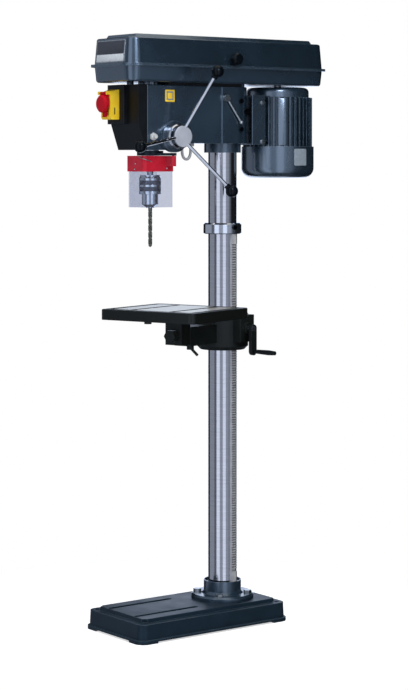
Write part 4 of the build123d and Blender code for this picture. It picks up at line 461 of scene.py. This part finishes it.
# Finish of each solid
nodeFinish = {
    slateEnamel: ["belt_lid"],
    headLitEnamel: ["head_casting", "belt_housing", "column_flange"],
    castEnamel: ["base"],
    motorEnamel: ["motor_body", "fan_cover", "motor_plate"],
    blackEnamel: ["table_bracket", "tilt_bolt", "crank_arm", "lock_lever", "spring_cap"],
    groundTube: ["column"],
    milledSteel: ["rack"],
    bandSteel: ["rack_collar"],
    turnedSteel: ["lift_pinion", "lift_worm", "quill", "quill_bearings", "spindle", "chuck_jaw_1",
                  "chuck_jaw_2", "chuck_jaw_3", "sleeve_bearings", "motor_shaft", "feed_pinion"],
    chromePlate: ["feed_rods", "depth_ring"],
    chuckLitChrome: ["chuck_sleeve", "chuck_body"],
    oxideSteel: ["drill_bit"],
    zincPlate: ["flange_bolts", "lid_hinges", "tension_lever"],
    headScrew: ["head_screws"],
    blackOxide: ["slide_rods", "guard_clamp"],
    gunmetal: ["feed_hub"],
    castAluminium: ["spindle_pulley", "idler_pulley", "motor_pulley"],
    bluedStrip: ["return_spring"],
    blackMoulding: ["front_cover", "cooling_fan", "crank_grip"],
    phenolicBall: ["feed_knobs", "lid_knob"],
    yellowMoulding: ["switch_housing"],
    guardRed: ["guard_collar", "guard_knob"],
    stopRed: ["stop_paddle", "stop_button"],
    greenMoulding: ["start_button"],
    beltRubber: ["drive_belt", "motor_belt"],
    greySheath: ["cable_loop", "cable_glands"],
    clearGuard: ["guard_shield"],
    tableIron: ["table"],
}
for material, names in nodeFinish.items():
    for nodeName in names:
        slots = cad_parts[nodeName].data.materials
        slots.clear()
        slots.append(material)
# The chuck mirrors the studio as if the sheet in front of it were perfectly clear, and the column as if the
# guard and the table were not there
for nodeName in ("guard_shield", "guard_collar", "table"):
    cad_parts[nodeName].visible_glossy = False
print("finishes set on", sum(len(names) for names in nodeFinish.values()), "nodes")

sharpDeg = 35  # corners sharper than this stay crisp on a smooth piece


def skin(name, stacks, material, body, smooth=True, looped=False):
    # One mesh over stacks of rings: each stack is an array (rows, points, 3) whose rings run anticlockwise
    # seen from the far end, joined by quads and closed by a flat face at each end, or looped to the start
    points, faces, start = [], [], 0
    for rings in stacks:
        rows, count = rings.shape[:2]
        index = start + np.arange(rows * count).reshape(rows, count)
        if looped:
            index = np.concatenate([index, index[:1]])
        else:
            faces += [index[0, ::-1].tolist(), index[-1].tolist()]
        onward = np.roll(index, -1, axis=1)
        quads = np.stack([index[:-1], onward[:-1], onward[1:], index[1:]], axis=-1)
        faces += quads.reshape(-1, 4).tolist()
        points.append(rings.reshape(-1, 3))
        start += rows * count
    mesh = bpy.data.meshes.new(name)
    mesh.from_pydata(np.concatenate(points).tolist(), [], faces)
    mesh.materials.append(material)
    piece = newObject(name, mesh)
    if smooth:
        mesh.polygons.foreach_set("use_smooth", np.ones(len(mesh.polygons), dtype=bool))
        mesh.set_sharp_from_angle(angle=math.radians(sharpDeg))
    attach(piece, body)
    return piece


def setDown(grid, origin, across, outward):
    # Carries a local grid to its place: its x runs along across, its z along outward
    zAxis = Vector(outward).normalized()
    xAxis = (Vector(across) - zAxis * Vector(across).dot(zAxis)).normalized()
    yAxis = zAxis.cross(xAxis)
    return grid @ np.array([xAxis, yAxis, zAxis]) + np.array(origin)


def turned(radius, height, count):
    # Rings round the z axis: a row of radii for each ring, or one radius, and the ring's height
    angle = np.linspace(0, 2 * np.pi, count, endpoint=False)
    radius, height = (np.reshape(rows, (len(rows), -1)) + np.zeros(count) for rows in (radius, height))
    return np.stack([radius * np.cos(angle), radius * np.sin(angle), height], axis=-1)


# Points along each rounded corner of a plate, and the share of the bevel at which it is softened
plateForm = {"cornerPoints": 9, "bevelSoft": 0.3}


def plateOn(form, origin, across, outward):
    # Flat plate: a rounded rectangle raised through its thickness and drawn in by a bevel at the top, set
    # down in its place; the outline is a quarter circle at each corner, joined by straight sides
    corner, bevel, thick = form["corner"], form["bevel"], form["thickness"]
    soft = bevel * plateForm["bevelSoft"]
    angle = np.linspace(0, np.pi / 2, plateForm["cornerPoints"]) + np.pi / 2 * np.arange(4)[:, None]
    signX, signY = np.array([[1, -1, -1, 1], [1, 1, -1, -1]])[:, :, None]
    inset = np.array([0, 0, soft, bevel])[:, None, None]
    level = np.array([0, thick - bevel, thick - soft, thick])[:, None, None]
    x = signX * (form["width"] / 2 - corner) + (corner - inset) * np.cos(angle)
    y = signY * (form["height"] / 2 - corner) + (corner - inset) * np.sin(angle)
    grid = np.stack([x, y, level + np.zeros_like(x)], axis=-1).reshape(4, -1, 3)
    return setDown(grid, origin, across, outward)


# Twist drill: a round bar with two spiral flutes and a ground point, in place of the plain bar
drillLook = {"radius": 0.0050, "leadM": 0.034, "fluteDepth": 0.52, "fluteTop": 1.052, "fluteFade": 0.012,
             "fluteCurve": 0.7, "land": 0.15, "pointM": 0.0032, "tip": 0.06, "pointRows": 6, "rows": 220,
             "points": 56}


def twistDrill():
    # Rings up the drill: the radius drops into a flute where twice the angle, less the twist at that
    # height, has a high cosine; the point is a cone
    low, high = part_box("drill_bit")
    point, land = drillLook["pointM"], drillLook["land"]
    rise = np.concatenate([np.linspace(0, point, drillLook["pointRows"]),
                           np.linspace(point, high[2] - low[2], drillLook["rows"])[1:]])[:, None]
    angle = np.linspace(0, 2 * np.pi, drillLook["points"], endpoint=False)
    twist = 2 * np.pi * rise / drillLook["leadM"]
    flute = np.clip((np.cos(2 * (angle - twist)) - land) / (1 - land), 0, 1) ** drillLook["fluteCurve"]
    fade = np.clip((drillLook["fluteTop"] - (low[2] + rise)) / drillLook["fluteFade"], 0, 1)
    cone = np.clip(rise / point, drillLook["tip"], 1)
    radius = drillLook["radius"] * cone * (1 - drillLook["fluteDepth"] * flute * fade)
    return turned(radius, low[2] + rise, drillLook["points"]) + (0, places["spindleY"], 0)


drillPiece = skin("twist_drill", [twistDrill()], oxideSteel, "spindle_body")
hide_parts("drill_bit")
print("twist drill made")

# Chuck sleeve: a chromed shell with two knurled bands let into it, in place of the plain sleeve
chuckLook = {"points": 216, "bore": 0.0213, "edge": 0.0012, "edgeSoft": 0.3, "topBevel": 0.005,
             "topDraw": 0.6, "bands": ((0.008, 0.018), (0.024, 0.034)), "bandRows": 46, "bandWall": 0.0002,
             "diamonds": 54, "land": 0.90, "knurlDepth": 0.0003, "knurlSink": 0.0004}


def chuckShell():
    # Plain shell: bevelled at the top, rounded at the foot, with a shallow seat for each knurled band
    low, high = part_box("chuck_sleeve")
    radius, foot, top = (high[0] - low[0]) / 2, low[2], high[2]
    edge, bevel, bore = chuckLook["edge"], chuckLook["topBevel"], chuckLook["bore"]
    soft, seat = edge * chuckLook["edgeSoft"], radius - (chuckLook["knurlDepth"] + chuckLook["knurlSink"])
    profile = [(radius - edge, foot), (radius - soft, foot + soft), (radius, foot + edge)]
    for start, end in chuckLook["bands"]:
        profile += [(radius, foot + start - edge / 2), (seat, foot + start), (seat, foot + end),
                    (radius, foot + end + edge / 2)]
    profile += [(radius, top - bevel), (radius - edge, top - bevel + edge),
                (radius - bevel * chuckLook["topDraw"], top), (bore, top), (bore, foot)]
    return turned(*np.array(profile).T, chuckLook["points"]) + (0, places["spindleY"], 0)


def knurledBand(start, end):
    # Diamond knurl: the radius dips where either of two opposed spirals of equal pitch has its narrow groove
    low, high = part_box("chuck_sleeve")
    radius, count = (high[0] - low[0]) / 2 - chuckLook["knurlSink"], chuckLook["points"] * 2
    depth, land = chuckLook["knurlDepth"], chuckLook["land"]
    angle = np.linspace(0, 2 * np.pi, count, endpoint=False)
    rise = np.linspace(0, end - start, chuckLook["bandRows"])[:, None]
    spirals = [np.cos(chuckLook["diamonds"] * (angle + lean)) for lean in (rise / radius, -rise / radius)]
    groove = np.clip((np.maximum(*spirals) - land) / (1 - land), 0, 1)
    inner = np.full((2, count), radius - depth - chuckLook["bandWall"])
    height = low[2] + start + np.concatenate([rise, rise[-1:], rise[:1]])
    rows = np.concatenate([radius - depth * groove, inner])
    return turned(rows, height, count) + (0, places["spindleY"], 0)


shellPiece = skin("chuck_shell", [chuckShell()], chuckLitChrome, "sleeve", looped=True)
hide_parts("chuck_sleeve")
bandStacks = [knurledBand(*band) for band in chuckLook["bands"]]
skin("chuck_knurls", bandStacks, gunmetal, "sleeve", looped=True)
print("chuck sleeve made")

# Small metal trim of the red collar: a sprung wire laid round its right front corner, and three rivets, each
# given by its place along the wall, its height and its radius
guardTrim = {"rightX": 0.037, "corner": 0.009, "wireRadius": 0.0009, "wireGap": 0.0001, "wireFromX": 0.016,
             "wireToY": -0.1375, "wireHigh": 1.1862, "wireLow": 1.1722, "tuck": 0.0022, "cornerPoints": 13,
             "wirePoints": 10, "frontRivets": ((-0.0042, 1.1548, 0.0019), (-0.0008, 1.1676, 0.0024)),
             "sideRivets": ((-0.0913, 1.1561, 0.0019),), "dome": 0.6, "domeDeg": 80, "rivetRows": 7,
             "rivetPoints": 24}
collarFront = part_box("guard_collar")[0][1]


def guardWire():
    # Round wire swept along the collar's outline, straight, round the corner and straight again, falling
    # steadily with the distance covered; both ends turn into the wall
    trim, right, corner = guardTrim, guardTrim["rightX"], guardTrim["corner"]
    out = trim["wireRadius"] + trim["wireGap"]
    arc = np.linspace(-np.pi / 2, 0, trim["cornerPoints"])
    x = np.concatenate([[trim["wireFromX"] - out, trim["wireFromX"]],
                        right - corner + (corner + out) * np.cos(arc), [right + out, right - trim["tuck"]]])
    y = np.concatenate([[collarFront + trim["tuck"], collarFront - out],
                        collarFront + corner + (corner + out) * np.sin(arc),
                        [trim["wireToY"], trim["wireToY"] + out]])
    covered = np.concatenate([[0], np.cumsum(np.hypot(np.diff(x), np.diff(y)))])
    z = trim["wireHigh"] + (trim["wireLow"] - trim["wireHigh"]) * covered / covered[-1]
    route = np.stack([x, y, z], axis=-1)
    ahead = np.gradient(route, axis=0)
    ahead /= np.linalg.norm(ahead, axis=1, keepdims=True)
    side = np.cross(ahead, (0, 0, 1))
    side /= np.linalg.norm(side, axis=1, keepdims=True)
    angle = np.linspace(0, 2 * np.pi, trim["wirePoints"], endpoint=False)[None, :, None]
    ring = np.cos(angle) * side[:, None] + np.sin(angle) * np.cross(ahead, side)[:, None]
    return route[:, None] + trim["wireRadius"] * ring


def rivetHead(radius):
    # Low dome: the radius is the cosine and the height a share of the sine of the same angle
    tilt = np.linspace(0, np.radians(guardTrim["domeDeg"]), guardTrim["rivetRows"])
    return turned(radius * np.cos(tilt), radius * guardTrim["dome"] * np.sin(tilt), guardTrim["rivetPoints"])


rivets = [setDown(rivetHead(radius), (x, collarFront, z), (1, 0, 0), (0, -1, 0))
          for x, z, radius in guardTrim["frontRivets"]]
rivets += [setDown(rivetHead(radius), (guardTrim["rightX"], y, z), (0, 1, 0), (1, 0, 0))
           for y, z, radius in guardTrim["sideRivets"]]
skin("guard_wire", [guardWire()], zincPlate, "guard")
skin("guard_rivets", rivets, zincPlate, "guard")
print("guard trim made")

# Name plate on the lid's front, left blank: a bright frame, a dark field and a pale band below it. The lid's
# front slopes back from its lip
lidPlate = {"centreZ": 1.4435, "taperDeg": 5.0, "lipZ": 1.4103, "lipSet": 0.009, "margin": 0.0028,
            "band": 0.35, "gap": 0.0008,
            "rim": {"width": 0.121, "height": 0.056, "corner": 0.004, "thickness": 0.0014, "bevel": 0.0006},
            "inner": {"corner": 0.0022, "thickness": 0.0005, "bevel": 0.0002}}


def lidPlateStacks():
    # Three flat plates on the lid's sloping front, the smaller two seated on the frame plate
    rim, inner, slope = lidPlate["rim"], lidPlate["inner"], math.radians(lidPlate["taperDeg"])
    rise = (lidPlate["centreZ"] - lidPlate["lipZ"]) * math.tan(slope)
    centre = np.array([0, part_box("belt_lid")[0][1] + lidPlate["lipSet"] + rise, lidPlate["centreZ"]])
    outward = np.array([0, -math.cos(slope), math.sin(slope)])
    up = np.array([0, math.sin(slope), math.cos(slope)])
    raised = centre + outward * rim["thickness"]
    wide, tall = (rim[side] - 2 * lidPlate["margin"] for side in ("width", "height"))
    bandTall = tall * lidPlate["band"]
    fieldTall = tall - bandTall - lidPlate["gap"]
    field, band = ({**inner, "width": wide, "height": height} for height in (fieldTall, bandTall))
    return (plateOn(rim, centre, (1, 0, 0), outward),
            plateOn(field, raised + up * (tall - fieldTall) / 2, (1, 0, 0), outward),
            plateOn(band, raised - up * (tall - bandTall) / 2, (1, 0, 0), outward))


rimStack, fieldStack, bandStack = lidPlateStacks()
skin("lid_plate_frame", [rimStack], zincPlate, "lid")
skin("lid_plate_field", [fieldStack], darkPlate, "lid")
skin("lid_plate_band", [bandStack], etchedPlate, "lid")
print("lid plate made")

# Dark strips in the rubber finish that close the gap between the head and the belt housing along both sides:
# painted shade where the housing's shadow falls
gapShadeStrip = {"width": 0.009, "height": 0.232, "corner": 0.002, "thickness": 0.0058, "bevel": 0.0005,
            "sideX": 0.0505, "y": 0.016, "z": 1.3631}
gapShadeStacks = [
    plateOn(gapShadeStrip, (side * gapShadeStrip["sideX"], gapShadeStrip["y"], gapShadeStrip["z"]), (1, 0, 0), (0, 0, 1))
    for side in (-1, 1)]
skin("gap_shade_strips", gapShadeStacks, beltRubber, "stand")

# Blank plate on the head's right wall; a grey line runs round it, made of two smaller plates one on the other
wallPlate = {"width": 0.029, "height": 0.030, "corner": 0.0025, "thickness": 0.0010, "bevel": 0.0004,
             "y": -0.099, "z": 1.336, "lineInset": 0.0080, "fieldInset": 0.0150,
             "layer": {"corner": 0.00125, "thickness": 0.0003, "bevel": 0.0001}}


def wallLayer(form, inset, raised):
    # A plate smaller than the blank one by the inset, on the wall or raised above it
    sizes = {side: wallPlate[side] - inset for side in ("width", "height")}
    origin = (places["headSide"] + raised, wallPlate["y"], wallPlate["z"])
    return plateOn({**form, **sizes}, origin, (0, 1, 0), (1, 0, 0))


layer, lineAt = wallPlate["layer"], wallPlate["thickness"]
lineStack = wallLayer(layer, wallPlate["lineInset"], lineAt)
fieldStack = wallLayer(layer, wallPlate["fieldInset"], lineAt + layer["thickness"])
skin("wall_plate", [wallLayer(wallPlate, 0, 0)], yellowMoulding, "stand")
skin("wall_plate_line", [lineStack], printedPlate, "stand")
skin("wall_plate_field", [fieldStack], yellowMoulding, "stand")

# Black mark on the side of the switch housing where the finger slot is: painted shade standing in for the
# slot's depth
slotShadeMark = {"width": 0.0028, "height": 0.017, "corner": 0.0013, "thickness": 0.0003, "bevel": 0.0001,
              "y": -0.219, "z": 1.298}
slotPlace = (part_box("switch_housing")[1][0], slotShadeMark["y"], slotShadeMark["z"])
slotStack = plateOn(slotShadeMark, slotPlace, (0, 1, 0), (1, 0, 0))
skin("switch_slot_shade", [slotStack], blackMoulding, "stand")

# Blank rating plate rolled to the fan cover
ratingPlate = {"width": 0.040, "height": 0.043, "centreZ": 1.1845, "radius": 0.0945, "thickness": 0.0009,
               "sink": 0.0002, "corner": 0.003, "columns": 25}


def ratingStack():
    # Upright sections side by side round the cover: the width is an angle at the cover's radius, and each
    # section is drawn in by the quarter circle of the plate's corners near its ends
    half, corner, radius = ratingPlate["width"] / 2, ratingPlate["corner"], ratingPlate["radius"]
    along = np.linspace(-half, half, ratingPlate["columns"])
    into = np.clip(np.abs(along) - (half - corner), 0, corner)
    tall = ratingPlate["height"] / 2 - corner + np.sqrt(np.maximum(corner ** 2 - into ** 2, 0))
    angle = along / radius
    inner, outer = radius - ratingPlate["sink"], radius + ratingPlate["thickness"]
    edges = [np.stack([r * np.cos(angle), places["motorY"] + r * np.sin(angle),
                       ratingPlate["centreZ"] + side * tall], axis=-1)
             for r, side in ((inner, -1), (outer, -1), (outer, 1), (inner, 1))]
    return np.stack(edges, axis=1)


skin("rating_plate", [ratingStack()], printedPlate, "motor")

# Flat rib between the motor's fins, where the two halves of the casting mould meet
motorRib = {"width": 0.022, "height": 0.121, "corner": 0.004, "thickness": 0.006, "bevel": 0.0012,
            "face": 0.0892, "centreZ": 1.2755, "bearings": (58.7, -58.7)}
ribStacks = []
for bearing in motorRib["bearings"]:
    turn = math.radians(bearing)
    outward = np.array([math.sin(turn), -math.cos(turn), 0.0])
    foot = outward * (motorRib["face"] - motorRib["thickness"]) + (0, places["motorY"], motorRib["centreZ"])
    ribStacks.append(plateOn(motorRib, foot, (math.cos(turn), math.sin(turn), 0), outward))
skin("motor_ribs", ribStacks, motorEnamel, "motor")
print("blank plates made")

# Hexagon bolts that hold the motor to its slide plate, two on each side. The shares say where the washer and
# the head are drawn in
plateBolt = {"flat": 0.0048, "height": 0.0045, "washer": 0.0066, "washerHeight": 0.0012, "points": 48,
             "washerEdge": (0.7, 0.95), "headEdge": (0.8, 1.02, 0.55), "sideX": 0.061, "y": 0.1936,
             "heights": (1.224, 1.324)}


def hexHead():
    # Hexagon head on a round washer: radius is the flat distance over the cosine of the angle from the
    # nearest flat's middle, drawn in by a chamfer at the top
    flat, washer, base = plateBolt["flat"], plateBolt["washer"], plateBolt["washerHeight"]
    (washerRise, washerDraw), (headRise, chamfer, crown) = plateBolt["washerEdge"], plateBolt["headEdge"]
    angle = np.linspace(0, 2 * np.pi, plateBolt["points"], endpoint=False)
    hexRadius = flat / np.cos((angle + np.pi / 6) % (np.pi / 3) - np.pi / 6)
    radii = [washer, washer, washer * washerDraw, hexRadius, hexRadius, np.minimum(hexRadius, flat * chamfer),
             flat * crown]
    top = base + plateBolt["height"]
    heights = [0.0, base * washerRise, base, base, base + plateBolt["height"] * headRise, top, top]
    return turned([radius + np.zeros_like(angle) for radius in radii], heights, len(angle))


boltStacks = [setDown(hexHead(), (side * plateBolt["sideX"], plateBolt["y"], height), (0, 1, 0), (side, 0, 0))
              for side in (-1, 1) for height in plateBolt["heights"]]
skin("plate_bolts", boltStacks, zincPlate, "motor")

# Pale cap over the front of the feed hub: a short cylinder bevelled in front
hubCap = {"radius": 0.0262, "x": 0.0962, "thickness": 0.0040, "bevel": 0.0008, "points": 72}
capRadii = (hubCap["radius"], hubCap["radius"], hubCap["radius"] - hubCap["bevel"])
capLevels = (0.0, hubCap["thickness"] - hubCap["bevel"], hubCap["thickness"])
capStack = setDown(turned(capRadii, capLevels, hubCap["points"]),
                   (hubCap["x"], places["feedY"], places["feedZ"]), (0, 1, 0), (1, 0, 0))
skin("hub_cap", [capStack], silverPaint, "feed")

# Graduations of the depth ring, drawn as fine dark ribs standing a hair proud, every fifth one longer
ringMarks = {"count": 60, "longEvery": 5, "long": 0.0065, "short": 0.004, "radius": 0.031, "x": 0.0670,
             "bar": {"height": 0.0006, "corner": 0.00018, "thickness": 0.00012, "bevel": 0.00005}}
markStacks = []
for step in range(ringMarks["count"]):
    angle = 2 * math.pi * step / ringMarks["count"]
    reach = ringMarks["short"] if step % ringMarks["longEvery"] else ringMarks["long"]
    out = (0, math.cos(angle), math.sin(angle))
    centre = (ringMarks["x"] + reach / 2, places["feedY"] + ringMarks["radius"] * out[1],
              places["feedZ"] + ringMarks["radius"] * out[2])
    markStacks.append(plateOn({**ringMarks["bar"], "width": reach}, centre, (1, 0, 0), out))
skin("ring_marks", markStacks, blackOxide, "depth_stop", smooth=False)
print("fasteners and ring marks made")

# Studio: white surroundings, a pale floor that keeps the shadow and fades to white, soft boxes, and cards
# that only the metal sees
studio = {"floorHalf": 14.0, "floorColour": "#E6E7EA", "floorZ": -0.0006, "worldLight": 0.26,
          "nearGlow": 0.60, "fade": (0.30, 0.85), "cardTint": "#D8E6FF"}
white = (1, 1, 1, 1)


def seenWhite(tree):
    # One for rays that come from the camera, off a mirror or through glass, nought for the rest
    path = addNode(tree, "LightPath")
    glossy = addNode(tree, "Math", {0: (path, "Is Camera Ray"), 1: (path, "Is Glossy Ray")},
                     operation="MAXIMUM")
    return addNode(tree, "Math", {0: glossy, 1: (path, "Is Transmission Ray")}, operation="MAXIMUM")


def studioWorld():
    world = bpy.data.worlds.new("studioWorld")
    bpy.context.scene.world = world
    world.use_nodes = True
    tree = world.node_tree
    tree.nodes.clear()
    level = addNode(tree, "MapRange", {"Value": seenWhite(tree), "To Min": studio["worldLight"]})
    back = addNode(tree, "Background", {"Color": white, "Strength": level})
    addNode(tree, "OutputWorld", {"Surface": back})


def stageMesh(name, points, faces, material):
    mesh = bpy.data.meshes.new(name)
    mesh.from_pydata(points, [], faces)
    mesh.materials.append(material)
    piece = newObject(name, mesh)
    return piece


def levelSquare(half, level):
    return [(-half, -half, level), (half, -half, level), (half, half, level), (-half, half, level)]


def studioFloor():
    # Matte near the machine, so that its shadow shows, and plain white further out
    material, tree, place = newSurface("paleFloor")
    seen = seenWhite(tree)
    away = addNode(tree, "VectorMath", {0: place}, operation="LENGTH")
    fade = addNode(tree, "MapRange", {
        "Value": (away, "Value"), **ends("From", studio["fade"])}, interpolation_type="SMOOTHSTEP")
    far = addNode(tree, "Math", {0: fade, 1: seen}, operation="MULTIPLY")
    glow = addNode(tree, "Math", {0: seen, 1: studio["nearGlow"]}, operation="MULTIPLY")
    matte = addNode(tree, "BsdfDiffuse", {"Color": linearColour(studio["floorColour"])})
    light = addNode(tree, "Emission", {"Color": white, "Strength": glow})
    near = addNode(tree, "AddShader", {0: matte, 1: light})
    plain = addNode(tree, "Emission", {"Color": white, "Strength": 1.0})
    both = addNode(tree, "MixShader", {"Fac": far, 1: near, 2: plain})
    addNode(tree, "OutputMaterial", {"Surface": both})
    corners = levelSquare(studio["floorHalf"], studio["floorZ"])
    stageMesh("studio_floor", corners, [(0, 1, 2, 3)], material).visible_glossy = False


def around(azimuthDeg, distance, height):
    # A place round the column, counted from the operator's side towards the right
    angle = math.radians(azimuthDeg)
    return Vector((distance * math.sin(angle), places["columnY"] - distance * math.cos(angle), height))


# Soft boxes: the place is a bearing in degrees, a distance and a height
softBoxes = {
    "keyBox": {"place": (88, 3.0, 2.1), "aimZ": 1.1, "size": (1.3, 1.9), "power": 36},
    "fillBox": {"place": (10, 3.4, 1.6), "aimZ": 0.9, "size": (1.2, 2.2), "power": 24},
    "topBox": {"place": (60, 0.9, 3.6), "aimZ": 0.6, "size": (2.0, 2.0), "power": 70},
}


def studioLights():
    # Soft boxes light the paint; the cards below give the gloss, so mirrors do not see the boxes
    for name, box in softBoxes.items():
        lamp = bpy.data.lights.new(name, "AREA")
        lamp.shape = "RECTANGLE"
        lamp.size, lamp.size_y = box["size"]
        lamp.energy = box["power"]
        holder = newObject(name, lamp)
        holder.location = around(*box["place"])
        aim = Vector((0, 0, box["aimZ"])) - holder.location
        holder.rotation_euler = aim.to_track_quat("-Z", "Y").to_euler()
        holder.visible_glossy = False


def addCard(name, points, faces, strength):
    # Card seen in the gloss alone, which glows evenly or as the named attribute of its points says
    material, tree = emptyMaterial(name)
    if isinstance(strength, str):
        strength = (addNode(tree, "Attribute", attribute_name=strength), "Fac")
    shine = addNode(tree, "Emission", {"Color": linearColour(studio["cardTint"]), "Strength": strength})
    addNode(tree, "OutputMaterial", {"Surface": shine})
    card = stageMesh(name, points, faces, material)
    card.visible_camera = card.visible_diffuse = card.visible_shadow = card.visible_transmission = False
    return card


# Ring of cards round the column: how bright it is at each bearing in degrees, from dark flags through grey
# cards to two bright strips, with a white card behind the machine for the level tops
cardRing = {"radius": 1.15, "heights": (-0.6, 1.45, 1.62, 3.0), "faces": 720, "shadeFrom": 90, "shadeTo": 108,
            "shade": 0.12}
ringLevels = [(-110, 0.012), (-70, 0.012), (-69, 0.45), (-16, 0.45), (-14, 0.20), (4, 0.20), (6, 1.36),
              (31, 1.36), (33, 0.52), (55, 0.52), (57, 1.36), (79, 1.36), (81, 0.50), (100, 0.50),
              (107, 0.34), (113, 0.20), (117, 0.085), (131, 0.08), (137, 0.02), (211, 0.012), (213, 1.5),
              (249, 1.5), (250, 0.012)]


def studioRing():
    # Three strips of upright faces right round; each column of points glows as the levels say at its
    # bearing, and from the lid's height up the right-hand side is shaded
    wide = cardRing["faces"] + 1
    bearing = np.linspace(ringLevels[0][0], ringLevels[-1][0], wide)
    glow = np.interp(bearing, *np.array(ringLevels).T)
    shade = np.interp(bearing, (cardRing["shadeFrom"], cardRing["shadeTo"]), (1.0, cardRing["shade"]))
    x = cardRing["radius"] * np.sin(np.radians(bearing))
    y = places["columnY"] - cardRing["radius"] * np.cos(np.radians(bearing))
    points = np.stack([np.stack([x, y, np.full_like(x, z)], axis=-1) for z in cardRing["heights"]])
    corner = (np.arange(len(points) - 1)[:, None] * wide + np.arange(wide - 1)).ravel()
    faces = np.stack([corner, corner + 1, corner + 1 + wide, corner + wide], axis=-1)
    ring = addCard("card_ring", points.reshape(-1, 3).tolist(), faces.tolist(), "glow")
    glows = np.stack([glow, glow, glow * shade, glow * shade])
    ring.data.attributes.new("glow", "FLOAT", "POINT").data.foreach_set("value", glows.ravel())


# A hot spot up to the right puts a point of light on ball knobs and rounded shoulders; a dark card under the
# floor keeps undersides dark
sparkCard = {"bearing": 70, "distance": 1.10, "heights": (1.74, 2.10), "halfWidth": 0.16, "strength": 16}
underCard = {"half": 1.3, "level": -0.6, "strength": 0.10}


def studioCards():
    turn = math.radians(sparkCard["bearing"])
    side = Vector((math.cos(turn), math.sin(turn), 0)) * sparkCard["halfWidth"]
    low, high = (around(sparkCard["bearing"], sparkCard["distance"], z) for z in sparkCard["heights"])
    corners = [low - side, low + side, high + side, high - side]
    addCard("spark_card", corners, [(0, 1, 2, 3)], sparkCard["strength"])
    corners = levelSquare(underCard["half"], underCard["level"])
    addCard("under_card", corners, [(0, 1, 2, 3)], underCard["strength"])


studioWorld()
studioFloor()
studioLights()
studioRing()
studioCards()
print("studio set")
